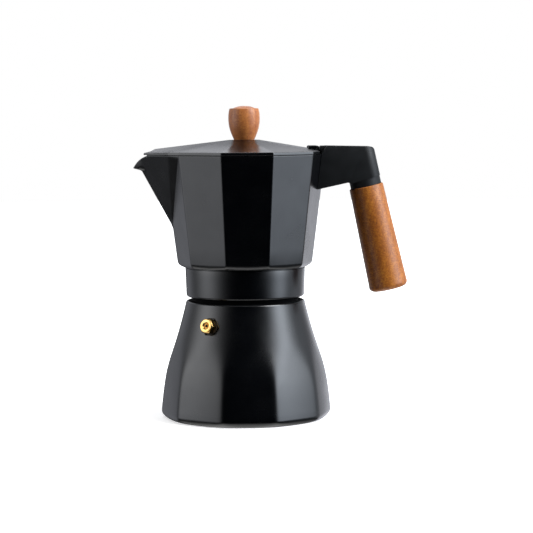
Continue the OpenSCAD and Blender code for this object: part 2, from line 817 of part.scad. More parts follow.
module knob_washer() {
    color(steel)
    translate([0, 0, lid_boss_z - knob_washer_t])
        difference() {
            cylinder(r = lid_boss_r - 0.3, h = knob_washer_t);
            translate([0, 0, -over]) cylinder(r = screw_r + 0.1, h = knob_washer_t + 2 * over, $fn = 32);
        }
}

// Pan-head screw, its head below z = 0 and its shank above.
module pan_screw(r, length, head_r, head_h) {
    cylinder(r = r, h = length, $fn = 32);
    difference() {
        translate([0, 0, -head_h]) cylinder(r1 = head_r - 0.5, r2 = head_r, h = head_h, $fn = 48);
        translate([-0.5, -head_r, -head_h - eps]) cube([1, 2 * head_r, head_h / 2]);
    }
}

module knob_screw() {
    color(steel)
    translate([0, 0, lid_boss_z - knob_washer_t])
        pan_screw(screw_r, flat_z - lid_boss_z + knob_washer_t + knob_screw_bite, 3.6, 2.2);
}

// ---------- handle ----------

bracket_screw_x = rim_r + 5.2;
screw_bite = 9;
bracket_top_z = rim_z + bracket_up;
bracket_low_z = bracket_top_z - bracket_h;
grip_x = rim_r + grip_out;
grip_z = rim_z - grip_down;
stub_r = grip_top_r - stub_step;
stub_l = 5;
plan_round = 6.5;
spigot_r = 6;
spigot_l = 8;
spigot_play = 0.1;
tongue_play = 0.15;
seat_play = 0.2;
back_r = 3.6;

// Frame of the grip: origin at the middle of its top end, +Z down along its axis.
module at_grip() {
    translate([grip_x, 0, grip_z])
        rotate([0, 180 - grip_tilt, 0]) children();
}

// X of the bracket's back edge at a height, parallel to the grip's axis.
function back_x(z) = grip_x + (grip_z - z) * tan(grip_tilt) + stub_r / cos(grip_tilt);

// A point given along the grip's axis and across it, seen from the side.
function by_grip(across, along) =
    [grip_x, grip_z] + across * [cos(grip_tilt), sin(grip_tilt)] + along * [sin(grip_tilt), -cos(grip_tilt)];

module bracket_outline() {
    corner_z = bracket_top_z - 0.6;
    polygon(concat(
        [
            [rim_r - 8, bracket_low_z], by_grip(-stub_r, -stub_l) + [-1.2, -0.2],
            by_grip(-stub_r, -stub_l) + [-0.4, -0.4], by_grip(-stub_r, -stub_l + 1), by_grip(stub_r, -stub_l)
        ],
        [
            for (a = [0 : 15 : 90])
                let (c = [back_x(corner_z - back_r) - back_r, corner_z - back_r]) c + turned(back_r, a)
        ],
        [[rim_r + 0.2, bracket_top_z], [rim_r - 3.2, rim_z + lid_gap], [rim_r - 8, rim_z + lid_gap]]
    ));
}

// Section of the bracket across the grip's axis: straight sides, and rounded edges behind.
module bracket_plan() {
    inside = stub_r - plan_round;
    translate([-inside, -bracket_w / 2]) square([inside + 60, bracket_w]);
    translate([-stub_r, plan_round - bracket_w / 2]) square([plan_round + 1, bracket_w - 2 * plan_round]);
    for (s = [-1, 1])
        translate([-inside, s * (bracket_w / 2 - plan_round)]) circle(r = plan_round);
}

module handle_bracket() {
    nose_x = hinge_x + knuckle_r + 0.5;
    color(plastic)
    difference() {
        union() {
            intersection() {
                side_plate(bracket_w) bracket_outline();
                at_grip() translate([0, 0, -60]) linear_extrude(80) bracket_plan();
            }
            side_plate(tongue_t + 2 * tongue_play + 2.6)
                polygon([
                    [nose_x, rim_z + 1], [nose_x, bracket_top_z - 0.4], [nose_x + 0.4, bracket_top_z],
                    [rim_r + 6, bracket_top_z], [rim_r + 6, rim_z + 1]
                ]);
            at_grip() {
                translate([0, 0, -stub_l - 2]) cylinder(r = stub_r, h = stub_l + 2);
                translate([0, 0, -1]) cylinder(r = spigot_r, h = spigot_l + 1);
            }
        }
        translate([0, 0, rim_z - 60])
            cylinder(r1 = corner_r(rim_z - 60) + seat_play, r2 = rim_r + seat_play, h = 60, $fn = sides);
        translate([0, 0, rim_z - eps]) cylinder(r = rim_r + seat_play, h = lid_gap + 2 * eps, $fn = sides);
        side_plate(tongue_t + 2 * tongue_play)
            polygon([
                [hinge_x, tongue_low_z - tongue_play], [tongue_x + tongue_play, tongue_low_z - tongue_play],
                [tongue_x + tongue_play, tongue_high_z - 1.7], [tongue_x - 1.7, tongue_high_z + tongue_play],
                [hinge_x, tongue_high_z + tongue_play]
            ]);
        translate([bracket_screw_x, 0, bracket_low_z - 5]) {
            cylinder(r = screw_r + 0.15, h = 20, $fn = 32);
            cylinder(r = 3.7, h = bracket_screw_z - bracket_low_z + 5, $fn = 48);
        }
        at_grip() {
            translate([0, 0, -insert_l]) cylinder(r = insert_r + 0.02, h = insert_l);
            translate([0, 0, -insert_l - 1]) cylinder(r = screw_r + 0.15, h = insert_l + spigot_l + 2, $fn = 32);
        }
    }
}

bracket_screw_z = tongue_low_z - 1.1;
insert_r = 3.4;
insert_l = 9;
grip_round_top = 0.9;
grip_round_end = 3.2;
grip_recess_r = 5;
grip_recess_l = 6;
grip_bore_r = 2.4;

module bracket_screw() {
    color(steel)
    translate([bracket_screw_x, 0, bracket_screw_z])
        pan_screw(screw_r, screw_bite - 1, 3.5, 1.5);
}

module handle_grip() {
    color(timber)
    at_grip()
        difference() {
            rotate_extrude($fn = 64)
                polygon(concat(
                    [[0, 0]],
                    [
                        for (a = [90 : -30 : 0])
                            [grip_top_r - grip_round_top * (1 - cos(a)), grip_round_top * (1 - sin(a))]
                    ],
                    [
                        for (a = [0 : 15 : 90])
                            [grip_end_r - grip_round_end * (1 - cos(a)), grip_l - grip_round_end * (1 - sin(a))]
                    ],
                    [[0, grip_l]]
                ));
            translate([0, 0, -over]) cylinder(r = grip_bore_r, h = grip_l + 2 * over, $fn = 32);
            translate([0, 0, -over]) cylinder(r = spigot_r + spigot_play, h = spigot_l + 0.3 + over);
            translate([0, 0, grip_l - grip_recess_l]) cylinder(r = grip_recess_r, h = grip_recess_l + over, $fn = 48);
        }
}

module grip_insert() {
    color(brass)
    at_grip()
        translate([0, 0, -insert_l])
            difference() {
                cylinder(r = insert_r, h = insert_l);
                translate([0, 0, -over]) cylinder(r = screw_r + 0.02, h = insert_l + 2 * over, $fn = 32);
            }
}

grip_washer_t = 0.8;

module grip_washer() {
    color(steel)
    at_grip()
        translate([0, 0, grip_l - grip_recess_l])
            difference() {
                cylinder(r = grip_recess_r - 0.3, h = grip_washer_t, $fn = 48);
                translate([0, 0, -over]) cylinder(r = screw_r + 0.1, h = grip_washer_t + 2 * over, $fn = 32);
            }
}

module grip_screw() {
    color(steel)
    at_grip()
        translate([0, 0, grip_l - grip_recess_l + grip_washer_t])
            rotate([180, 0, 0])
                pan_screw(screw_r, grip_l - grip_recess_l + grip_washer_t + insert_l - 0.5, 3.6, 2.4);
}

boiler();
valve_body();
valve_washer();
valve_plunger();
valve_spring();
valve_cap();
funnel_basket();
funnel_sieve();
funnel_tube();
gasket();
filter_plate();
collector();
coffee_column();
lid();
hinge_pin();
knob();
knob_screw();
knob_washer();
handle_bracket();
bracket_screw();
handle_grip();
grip_insert();
grip_screw();
grip_washer();
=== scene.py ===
from math import cos, pi, radians, sin, sqrt, tan

import bmesh
import bpy
from mathutils import Matrix, Quaternion, Vector
from mathutils.geometry import interpolate_bezier


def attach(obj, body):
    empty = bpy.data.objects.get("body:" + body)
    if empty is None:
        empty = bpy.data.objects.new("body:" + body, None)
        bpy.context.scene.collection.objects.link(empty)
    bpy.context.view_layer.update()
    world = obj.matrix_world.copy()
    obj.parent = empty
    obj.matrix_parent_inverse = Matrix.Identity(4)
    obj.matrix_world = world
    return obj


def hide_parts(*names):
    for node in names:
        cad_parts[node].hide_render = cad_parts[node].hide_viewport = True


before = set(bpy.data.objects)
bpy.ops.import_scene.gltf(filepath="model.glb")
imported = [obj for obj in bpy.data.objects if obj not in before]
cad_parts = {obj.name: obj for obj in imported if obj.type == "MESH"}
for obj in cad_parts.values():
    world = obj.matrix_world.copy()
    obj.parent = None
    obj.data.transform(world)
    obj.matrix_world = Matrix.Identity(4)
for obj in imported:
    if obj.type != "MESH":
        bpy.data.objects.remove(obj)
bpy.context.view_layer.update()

# ---- Studio ----
# A pale paper floor in a white room. Broad soft lights stand to the left, the right and behind, and
# a dark screen stands round the camera, so the sides turned to it stay black.


def linear(code):
    """An sRGB hex colour as linear RGBA."""
    values = [int(code[i : i + 2], 16) / 255 for i in (1, 3, 5)]
    return [v / 12.92 if v <= 0.04045 else ((v + 0.055) / 1.055) ** 2.4 for v in values] + [1.0]


def node(tree, kind, values=None, stops=(), **settings):
    """Adds a node. "values" fills its sockets with plain values or other nodes' outputs, "stops"
    gives a colour ramp its places from 0 to 1, each with a hex colour, and the rest are its own
    settings."""
    made = tree.nodes.new(kind)
    for name, value in settings.items():
        setattr(made, name, value)
    for key, value in (values or {}).items():
        socket = made.inputs[key]
        if isinstance(value, bpy.types.NodeSocket):
            tree.links.new(value, socket)
        else:
            socket.default_value = value
    while stops and len(made.color_ramp.elements) < len(stops):
        made.color_ramp.elements.new(0.5)
    for i, (place, colour) in enumerate(stops):
        band = made.color_ramp.elements[i]
        band.position, band.color = place, linear(colour)
    return made


def new_material(name, values):
    """A material with plain values on its shader. Returns it with its tree, its shader and the
    coordinates that its patterns lie on."""
    made = bpy.data.materials.new(name)
    made.use_nodes = True
    shader = made.node_tree.nodes["Principled BSDF"]
    for key, value in values.items():
        shader.inputs[key].default_value = value
    place = node(made.node_tree, "ShaderNodeTexCoord").outputs["Object"]
    return made, made.node_tree, shader, place


scene = bpy.context.scene
scene.view_settings.view_transform = "Standard"

camera = bpy.data.objects.new("camera", bpy.data.cameras.new("camera"))
scene.collection.objects.link(camera)
scene.camera = camera
FOCAL_PX, FRAME_PX, SENSOR_MM = 1933, 533, 36
TURN, PITCH, ROLL = radians(2.72), radians(4.57), radians(-0.4)
camera.data.lens = FOCAL_PX / FRAME_PX * SENSOR_MM
camera.data.clip_start, camera.data.clip_end = 0.05, 50
camera.location = (-0.04406, -1.20927, 0.1913)
sight = Vector((sin(TURN) * cos(PITCH), cos(TURN) * cos(PITCH), -sin(PITCH)))
camera.rotation_mode = "QUATERNION"
camera.rotation_quaternion = sight.to_track_quat("-Z", "Y") @ Quaternion((0, 0, 1), ROLL)

bpy.ops.object.select_all(action="DESELECT")
bpy.ops.mesh.primitive_circle_add(vertices=96, radius=3, fill_type="NGON")
floor = bpy.context.object
floor.name = "floor"
floor.visible_glossy = floor.visible_diffuse = False

# Matt white paper that glows with painted light, so that it runs on into the white room with no
# edge; the glow is weaker near the pot's foot, a painted shade round it.
# Each a distance from the pot's axis and a glow strength.
GLOW_NEAR, GLOW_FAR = (0.045, 0.55), (0.16, 1.0)
paper, sheet, coat, place = new_material("studio_paper", {
    "Base Color": linear("#efefee"), "Roughness": 0.95, "Specular IOR Level": 0.0,
    "Emission Color": linear("#ffffff"),
})
reach = node(sheet, "ShaderNodeVectorMath", {0: place}, operation="LENGTH")
glow = node(sheet, "ShaderNodeMapRange", {
    "Value": reach.outputs["Value"],
    1: GLOW_NEAR[0], 2: GLOW_FAR[0], 3: GLOW_NEAR[1], 4: GLOW_FAR[1],
})
sheet.links.new(glow.outputs[0], coat.inputs["Emission Strength"])
floor.data.materials.append(paper)

# Each panel of light in the room: its bearing from straight behind, towards +X, and its half
# width; the heights between which it comes up and goes down again, all in degrees; its strength
# and its colour.
LIGHTS = (
    (112, 17, (-24, -11), (40, 60), 4.7, "#e8f2ff"),
    (112, 17, (-3, 14), (40, 60), 4.6, "#f0f7ff"),
    (74, 18, (-40, -20), (40, 60), 0.9, "#eef5ff"),
    (-100, 24, (-37, -9), (28, 42), 2.6, "#f6f9ff"),
    (-100, 23, (-4, 12), (28, 42), 1.2, "#fffefc"),
    (20, 16, (-40, -20), (9, 14), 1.36, "#f4f6ff"),
    (40, 18, (-40, -20), (9, 14), 0.3, "#f4f6ff"),
    (45, 30, (-40, -20), (30, 50), 0.2, "#f4f6ff"),
    (-42, 22, (-40, -20), (30, 50), 0.65, "#f2f5ff"),
    (0, 25, (15.5, 19.5), (40, 60), 1.5, "#f6f8ff"),
    (0, 25, (-40, -20), (40, 60), 0.1, "#f8f9ff"),
    (0, 400, (-95, -91), (-65, -35), 2.1, "#ffffff"),
    (0, 400, (50, 75), (91, 95), 1.2, "#ffffff"),
)
world = bpy.data.worlds.new("studio")
scene.world = world
world.use_nodes = True
room = world.node_tree
room.nodes.clear()
place = node(room, "ShaderNodeTexCoord").outputs["Generated"]
way = node(room, "ShaderNodeSeparateXYZ", {0: place})
flat = {0: way.outputs["X"], 1: way.outputs["Y"]}
bearing = node(room, "ShaderNodeMath", flat, operation="ARCTAN2").outputs[0]
height = node(room, "ShaderNodeMath", {0: way.outputs["Z"]}, operation="ARCSINE").outputs[0]
lit = node(room, "ShaderNodeBackground", {"Strength": 0.0}).outputs[0]
for middle, width, up, down, strength, colour in LIGHTS:
    share = {0: bearing, 1: radians(middle)}
    off = node(room, "ShaderNodeMath", share, operation="SUBTRACT").outputs[0]
    square = node(room, "ShaderNodeMath", {0: off, 1: off}, operation="MULTIPLY").outputs[0]
    share = {0: square, 1: -1 / radians(width) ** 2}
    fade = node(room, "ShaderNodeMath", share, operation="MULTIPLY").outputs[0]
    power = node(room, "ShaderNodeMath", {0: fade}, operation="EXPONENT").outputs[0]
    for (start, end), before, after in ((up, 0.0, strength), (down, 1.0, 0.0)):
        step = node(
            room, "ShaderNodeMapRange",
            {"Value": height, 1: radians(start), 2: radians(end), 3: before, 4: after},
            interpolation_type="SMOOTHSTEP",
        )
        share = {0: power, 1: step.outputs[0]}
        power = node(room, "ShaderNodeMath", share, operation="MULTIPLY").outputs[0]
    light = node(room, "ShaderNodeBackground", {"Color": linear(colour), "Strength": power})
    lit = node(room, "ShaderNodeAddShader", {0: lit, 1: light.outputs[0]}).outputs[0]
seen = node(room, "ShaderNodeBackground", {"Color": linear("#ffffff"), "Strength": 1.0})
to_camera = node(room, "ShaderNodeLightPath").outputs["Is Camera Ray"]
mixed = node(room, "ShaderNodeMixShader", {0: to_camera, 1: lit, 2: seen.outputs[0]})
node(room, "ShaderNodeOutputWorld", {"Surface": mixed.outputs[0]})

# A softbox high on the right, where only the wood and the tops of things catch it.
softbox = bpy.data.objects.new("softbox", bpy.data.lights.new("softbox", "AREA"))
scene.collection.objects.link(softbox)
softbox.data.shape, softbox.data.size, softbox.data.energy = "SQUARE", 0.8, 21.0  # metres, watts
softbox.location = (0.94, -0.5, 1.16)
towards = softbox.location - Vector((0, 0, 0.1))
softbox.rotation_euler = towards.to_track_quat("Z", "Y").to_euler()

# ---- Boiler ----
# Die-cast aluminium with ten flat sides that fade into a round shoulder. It is lacquered black
# outside; the base, the bore and the inside are left bare. The base is faced on a lathe.

MM = 0.001
BASE_R, EDGE_W, EDGE_H = 53.3, 5.9, 4.6
SHOULDER_Z, SHOULDER_R, SHOULDER_EDGE_R = 73.8, 37.4, 1.3
SIDE_TOP_Z, SIDE_STEPS = 72.5, 34
# Where the curve of the side is pulled to, low and high: shares of its way in and of its way up.
SIDE_LOW, SIDE_HIGH = (0.8, 0.542), (0.594, 0.42)
NECK_R, NECK_ROOT_R, NECK_BORE_R, NECK_TOP_Z = 33.55, 32.8, 30.0, 88.4
CRISP_Z, ROUND_Z = 20.0, 62.0  # the ten corners are crisp up to CRISP_Z and gone at ROUND_Z
ROUND_POWER, CRISP_POWER = 9, 130  # see ten_sided
CROWN = radians(5.0)  # how far each side's face turns from its middle to its corner
SECTOR_STEPS = [0, 0.5, 1.0, 1.6, 2.4, 3.5, 5, 7, 9.5, 12.5, 15.5, 18]  # degrees from a corner
# Radius and height of each ring of the neck, and inside from the neck's top down to the floor.
NECK = [
    (34.5, SHOULDER_Z), (33.2, SHOULDER_Z), (NECK_ROOT_R, 74.2), (NECK_ROOT_R, 77),
    (NECK_ROOT_R, 87.4), (32.5, 88.1), (32.1, NECK_TOP_Z), (30.4, NECK_TOP_Z), (30.1, 88.3),
]
BOILER_INSIDE = [
    (NECK_BORE_R, 88.0), (NECK_BORE_R, 79), (NECK_BORE_R, 71.8), (31, 70.8), (33.5, 69.3),
    (36.4, 61.5), (38.6, 52), (41, 43), (43.3, 33.5), (45.3, 24), (46.7, 14), (46.9, 8.5), (46, 5),
    (43, 4), (20, 4), (6, 4),
]


def quarter(steps):
    """The angles of a quarter turn in even steps, from 0."""
    return [pi / 2 * i / steps for i in range(steps + 1)]


def pick(piece):
    """Selects one piece alone and makes it the active one."""
    bpy.ops.object.select_all(action="DESELECT")
    piece.select_set(True)
    bpy.context.view_layer.objects.active = piece


def shade(piece, degrees):
    """Shades a piece smooth, but for the edges that turn by more than the given angle."""
    pick(piece)
    bpy.ops.object.shade_smooth_by_angle(angle=radians(degrees))


def close_up(piece, ring=False, degrees=32):
    """Finishes a piece that is drawn in edit mode: its two ends are filled, or joined to each
    other where the piece is a ring, and its faces turned outwards and shaded."""
    bpy.ops.mesh.select_all(action="DESELECT")
    bpy.ops.mesh.select_mode(type="EDGE")
    bpy.ops.mesh.select_non_manifold()
    if ring:
        bpy.ops.mesh.bridge_edge_loops()
    else:
        bpy.ops.mesh.fill_holes(sides=0)
    bpy.ops.mesh.select_all(action="SELECT")
    bpy.ops.mesh.normals_make_consistent(inside=False)
    bpy.ops.object.mode_set(mode="OBJECT")
    shade(piece, degrees)


def turned(name, steps, corners=96, ring=False):
    """A turned piece: a circle is drawn from step to step, each a radius and a height."""
    (radius, height), rest = steps[0], steps[1:]
    bpy.ops.object.select_all(action="DESELECT")
    bpy.ops.mesh.primitive_circle_add(
        vertices=corners, radius=radius * MM, location=(0, 0, height * MM)
    )
    piece = bpy.context.object
    piece.name = piece.data.name = name
    bpy.ops.object.transform_apply()
    bpy.ops.object.mode_set(mode="EDIT")
    for next_radius, next_height in rest:
        rise = (0, 0, (next_height - height) * MM)
        bpy.ops.mesh.extrude_region_move(TRANSFORM_OT_translate={"value": rise})
        wider = (next_radius / radius, next_radius / radius, 1)
        bpy.ops.transform.resize(value=wider, center_override=(0, 0, next_height * MM))
        radius, height = next_radius, next_height
    close_up(piece, ring)
    return piece


def modify(piece, kind, **settings):
    """Adds a modifier to a piece and applies it."""
    bpy.context.view_layer.objects.active = piece
    made = piece.modifiers.new(kind.lower(), kind)
    for name, value in settings.items():
        setattr(made, name, value)
    bpy.ops.object.modifier_apply(modifier=made.name)


def drawn(name, rings):
    """A closed piece drawn up from ring to ring, each a list of points, with its ends filled."""
    bpy.ops.object.select_all(action="DESELECT")
    bpy.ops.mesh.primitive_circle_add(vertices=len(rings[0]), radius=MM)
    piece = bpy.context.object
    piece.name = piece.data.name = name
    bpy.ops.object.mode_set(mode="EDIT")
    order = list(range(len(rings[0])))
    for step, points in enumerate(rings):
        if step:
            bpy.ops.mesh.extrude_region_move()
        mesh = bmesh.from_edit_mesh(piece.data)
        mesh.verts.ensure_lookup_table()
        mesh.verts.index_update()
        if step:
            order = [
                next(edge.other_vert(mesh.verts[i]).index for edge in mesh.verts[i].link_edges
                     if edge.other_vert(mesh.verts[i]).select)
                for i in order
            ]
        for i, point in zip(order, points):
            mesh.verts[i].co = Vector(point) * MM
        bmesh.update_edit_mesh(piece.data)
    close_up(piece)
    return piece


def smooth(t):
    """A soft step from 0 to 1."""
    t = min(1.0, max(0.0, t))
    return t * t * (3 - 2 * t)


def side_reach(turn):
    """Reach of one crowned side from the axis, at an angle from its middle, where it is 1."""
    bend = tan(pi / 10) / sin(CROWN)
    return (1 - bend) * cos(turn) + sqrt(bend ** 2 - ((1 - bend) * sin(turn)) ** 2)


SECTOR = [radians(a) for a in SECTOR_STEPS + [36 - a for a in SECTOR_STEPS[-2:0:-1]]]
COLUMNS = [radians(36 * k) + turn for k in range(10) for turn in SECTOR]


def ten_sided(radius, height, power):
    """A ring of ten crowned sides. The power sets how crisp their corners are."""
    def reach(turn):
        sides = [side_reach(turn - radians(36 * k)) ** -power for k in range(-2, 3)]
        return sum(sides) ** (-1 / power)

    shape = [radius * reach(turn - pi / 10) / reach(pi / 10) for turn in SECTOR]
    return [(r * cos(turn), r * sin(turn), height) for turn, r in zip(COLUMNS, shape * 10)]


def round_ring(radius, height):
    """A plain circle on the same columns of points as the ten sides."""
    return [(radius * cos(turn), radius * sin(turn), height) for turn in COLUMNS]


def power_at(z):
    """The corners' power at a height: crisp low on the sides, round at the shoulder and foot."""
    rise = smooth((ROUND_Z - z) / (ROUND_Z - CRISP_Z))
    crisp = ROUND_POWER * (CRISP_POWER / ROUND_POWER) ** rise
    return ROUND_POWER + (crisp - ROUND_POWER) * smooth((z + 0.5) / (EDGE_H + 0.5))


def side_point(share):
    """A point for the side's curve, from shares of its way in and of its way up."""
    way_in, way_up = share
    reach = SHOULDER_R + way_in * (BASE_R - SHOULDER_R)
    return reach, EDGE_H + way_up * (SIDE_TOP_Z - EDGE_H)


side = interpolate_bezier(
    (BASE_R, EDGE_H), side_point(SIDE_LOW), side_point(SIDE_HIGH), (SHOULDER_R, SIDE_TOP_Z),
    SIDE_STEPS,
)
outside = [(12, 0), (40, 0), (BASE_R - EDGE_W - 0.4, 0)]
outside += [(BASE_R - EDGE_W * (1 - sin(a)), EDGE_H * (1 - cos(a))) for a in quarter(9)[:-1]]
outside += [(p.x, p.y) for p in side]
outside += [
    (SHOULDER_R - SHOULDER_EDGE_R * (1 - cos(a)), SIDE_TOP_Z + SHOULDER_EDGE_R * sin(a))
    for a in quarter(4)[1:]
]
boiler = drawn(
    "boiler_casting",
    [ten_sided(r, z, power_at(z)) for r, z in outside]
    + [round_ring(r, z) for r, z in NECK + BOILER_INSIDE],
)

# Stoving lacquer on cast aluminium: black, with a soft gloss and a faint orange peel.
PEEL_MM, GLOSS_PATCH_MM = 1.1, 14.0
lacquer, tree, coat, place = new_material(
    "stoving_lacquer", {"Base Color": linear("#020305"), "IOR": 1.5}
)
patch = node(tree, "ShaderNodeTexNoise", {
    "Vector": place, "Scale": 1 / (GLOSS_PATCH_MM * MM), "Detail": 3.0,
}).outputs["Fac"]
gloss = node(tree, "ShaderNodeMapRange", {"Value": patch, 1: 0.3, 2: 0.7, 3: 0.22, 4: 0.28})
tree.links.new(gloss.outputs[0], coat.inputs["Roughness"])
peel = node(tree, "ShaderNodeTexNoise", {
    "Vector": place, "Scale": 1 / (PEEL_MM * MM), "Detail": 2.0,
}).outputs["Fac"]
bump = node(tree, "ShaderNodeBump", {"Height": peel, "Strength": 0.035, "Distance": 0.05 * MM})
tree.links.new(bump.outputs[0], coat.inputs["Normal"])

# Bare aluminium, turned on a lathe after casting: pale and satin, with fine rings round the pot's
# axis. The rings are drawn coarser than the lathe's own marks, so that they show.
RING_MM, STAIN_MM = 0.45, 9.0
bare, tree, metal, place = new_material("turned_aluminium", {"Metallic": 1.0})
stain = node(tree, "ShaderNodeTexNoise", {
    "Vector": place, "Scale": 1 / (STAIN_MM * MM), "Detail": 4.0,
}).outputs["Fac"]
tint = node(tree, "ShaderNodeValToRGB", {"Fac": stain}, stops=[(0.3, "#a7aaad"), (0.7, "#c3c5c7")])
tree.links.new(tint.outputs["Color"], metal.inputs["Base Color"])
gloss = node(tree, "ShaderNodeMapRange", {"Value": stain, 1: 0.3, 2: 0.7, 3: 0.3, 4: 0.42})
tree.links.new(gloss.outputs[0], metal.inputs["Roughness"])
wave = {"Vector": place, "Scale": 1 / (RING_MM * MM) / 20, "Distortion": 0.4}
rings = node(
    tree, "ShaderNodeTexWave", wave, wave_type="RINGS", rings_direction="Z"
).outputs["Fac"]
bump = node(tree, "ShaderNodeBump", {"Height": rings, "Strength": 0.25, "Distance": 0.04 * MM})
tree.links.new(bump.outputs[0], metal.inputs["Normal"])


def finish(piece, body, slot, *materials, replaces=None):
    """Gives a piece its materials and the body that it rides on."""
    for material in materials:
        piece.data.materials.append(material)
    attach(piece, body)
    if replaces:
        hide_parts(replaces)


def paint(piece, number, test):
    """Gives one of a piece's materials, by its number, to the faces that pass the test."""
    for face in piece.data.polygons:
        if test(face):
            face.material_index = number


def is_bare(face):
    """Whether a face of the boiler lies under the base, on the neck or inside."""
    outwards = face.normal.xy.dot(face.center.xy)
    low = face.center.z < 10 * MM and face.normal.z > 0.5
    return face.center.z < 0.05 * MM or outwards < 0 or low or face.center.z > 77 * MM


# Painted shade: a dull, slightly grainy matt black in the joint under the collar and on the
# collar's foot, where shade falls, to keep the joint dark.
GRIT_MM = 0.3
joint_shade_black, tree, matt, place = new_material(
    "matt_black_painted_shade", {"Roughness": 0.9, "Specular IOR Level": 0.08}
)
noise = {"Vector": place, "Scale": 1 / (GRIT_MM * MM), "Detail": 3.0}
grit = node(tree, "ShaderNodeTexNoise", noise)
tint = node(tree, "ShaderNodeValToRGB", {"Fac": grit.outputs["Fac"]},
            stops=[(0.3, "#020202"), (0.7, "#060607")])
tree.links.new(tint.outputs["Color"], matt.inputs["Base Color"])

finish(boiler, "boiler", "body_lacquer", lacquer, bare, joint_shade_black, replaces="boiler")
# Painted shade in the joint under the collar, and bare metal over what the lathe has faced.
paint(boiler, 2, lambda face: face.center.z > 73.7 * MM and face.center.xy.length < 36.2 * MM)
paint(boiler, 1, is_bare)

PITCH_MM, TURN_STEPS = 4.0, 96
FLANK = 0.42 * PITCH_MM  # half the width of a thread's root, and three times that of its crest


def threaded(name, root_r, crest_r, low_z, turns):
    """A screw thread's ridge, swept up from low_z."""
    bpy.ops.object.select_all(action="DESELECT")
    bpy.ops.mesh.primitive_circle_add(vertices=4, radius=MM, rotation=(pi / 2, 0, 0))
    piece = bpy.context.object
    piece.name = piece.data.name = name
    bpy.ops.object.transform_apply()
    section = [(root_r, -FLANK), (crest_r, -FLANK / 3), (crest_r, FLANK / 3), (root_r, FLANK)]
    for corner, (r, z) in zip(piece.data.vertices, section):
        corner.co = Vector((r, 0, low_z + z)) * MM
    steps = int(TURN_STEPS * turns)
    modify(
        piece, "SCREW", angle=2 * pi * turns, screw_offset=PITCH_MM * turns * MM, steps=steps,
        render_steps=steps, use_merge_vertices=False,
    )
    bpy.ops.object.mode_set(mode="EDIT")
    close_up(piece, degrees=30)
    return piece


neck_thread = threaded("neck_thread", NECK_ROOT_R - 0.1, NECK_R, 78.9, turns=1.9)
finish(neck_thread, "boiler", "bare_aluminium", bare)

# The seat that is spot-faced for the valve, and the drilled hole behind it.
VALVE_Z, VALVE_R, VALVE_TURN, VALVE_TILT = 60.4, 40.52, radians(235.5), radians(14.46)
valve_place = (
    Matrix.Rotation(VALVE_TURN, 4, "Z")
    @ Matrix.Translation(Vector((VALVE_R, 0, VALVE_Z)) * MM)
    @ Matrix.Rotation(pi / 2 - VALVE_TILT, 4, "Y")
)


def put(piece, place):
    """Moves a finished piece to its place and leaves its object at the origin."""
    pick(piece)
    piece.matrix_world = place
    bpy.ops.object.transform_apply()
    return piece


def carve(piece, tool, operation="DIFFERENCE"):
    """Cuts a piece with a tool, or joins the two, and deletes the tool."""
    modify(piece, "BOOLEAN", operation=operation, object=tool, solver="EXACT")
    bpy.data.objects.remove(tool)


SEAT = [(3.05, -14), (3.05, -1.0), (5.15, -1.0), (5.15, 6)]
carve(boiler, put(turned("seat_tool", SEAT, corners=64), valve_place))

# ---- Safety valve ----
# A turned brass body with a chamfered hexagon, screwed into the boiler over a dark fibre washer. A
# steel plunger shows in the hole of the brass cap that holds its spring.

HEX, HEX_LOW, HEX_TOP = 8.4, -0.2, 5.0  # across the flats, and its two ends along the valve
SHANK_R, CHAMBER_R = 3.0, 2.1
# Radius and place along the valve of each step of the tools that shape the hexagon.
CHAMFER = [(3.9, -0.3), (4.9, 0.35), (4.9, 4.1), (3.85, HEX_TOP + 0.05)]
SHANK = [(SHANK_R, -9.8), (SHANK_R, 0.5)]
CHAMBER = [(1.1, -11), (1.1, -7.4), (CHAMBER_R, -7.4), (CHAMBER_R, 4.6), (2.5, 5.2)]

hex_r = HEX / 2 / cos(pi / 6)
valve_hex = turned("valve_hexagon", [(hex_r, HEX_LOW), (hex_r, HEX_TOP)], corners=6)
carve(valve_hex, turned("chamfer_tool", CHAMFER, corners=64), "INTERSECT")
carve(valve_hex, turned("shank_tool", SHANK, corners=64), "UNION")
carve(valve_hex, turned("bore_tool", CHAMBER, corners=64))
modify(
    valve_hex, "BEVEL", width=0.12 * MM, segments=2, limit_method="ANGLE", angle_limit=radians(28)
)
shade(valve_hex, 25)
put(valve_hex, valve_place)

# Polished brass: deep yellow, nearly a mirror, with slight stains and the fine marks of turning.
TARNISH_MM, TURNING_MM = 2.5, 0.25
brass, tree, metal, place = new_material("turned_brass", {"Metallic": 1.0, "Roughness": 0.2})
noise = {"Vector": place, "Scale": 1 / (TARNISH_MM * MM), "Detail": 4.0}
stain = node(tree, "ShaderNodeTexNoise", noise)
tint = node(tree, "ShaderNodeValToRGB", {"Fac": stain.outputs["Fac"]},
            stops=[(0.35, "#c29a55"), (0.65, "#d8b778")])
tree.links.new(tint.outputs["Color"], metal.inputs["Base Color"])
noise = {"Vector": place, "Scale": 1 / (TURNING_MM * MM), "Detail": 2.0}
marks = node(tree, "ShaderNodeTexNoise", noise)
bump = node(tree, "ShaderNodeBump", {
    "Height": marks.outputs["Fac"], "Strength": 0.12, "Distance": 0.02 * MM,
})
tree.links.new(bump.outputs[0], metal.inputs["Normal"])

# The cap's brass is duller and darker brown than the hexagon's.
BLOTCH_MM = 1.2
cap_brass, tree, metal, place = new_material("dull_dark_brass", {"Metallic": 1.0, "Roughness": 0.36})
noise = {"Vector": place, "Scale": 1 / (BLOTCH_MM * MM), "Detail": 4.0}
stain = node(tree, "ShaderNodeTexNoise", noise)
tint = node(tree, "ShaderNodeValToRGB", {"Fac": stain.outputs["Fac"]},
            stops=[(0.35, "#7d5524"), (0.65, "#a67a3c")])
tree.links.new(tint.outputs["Color"], metal.inputs["Base Color"])
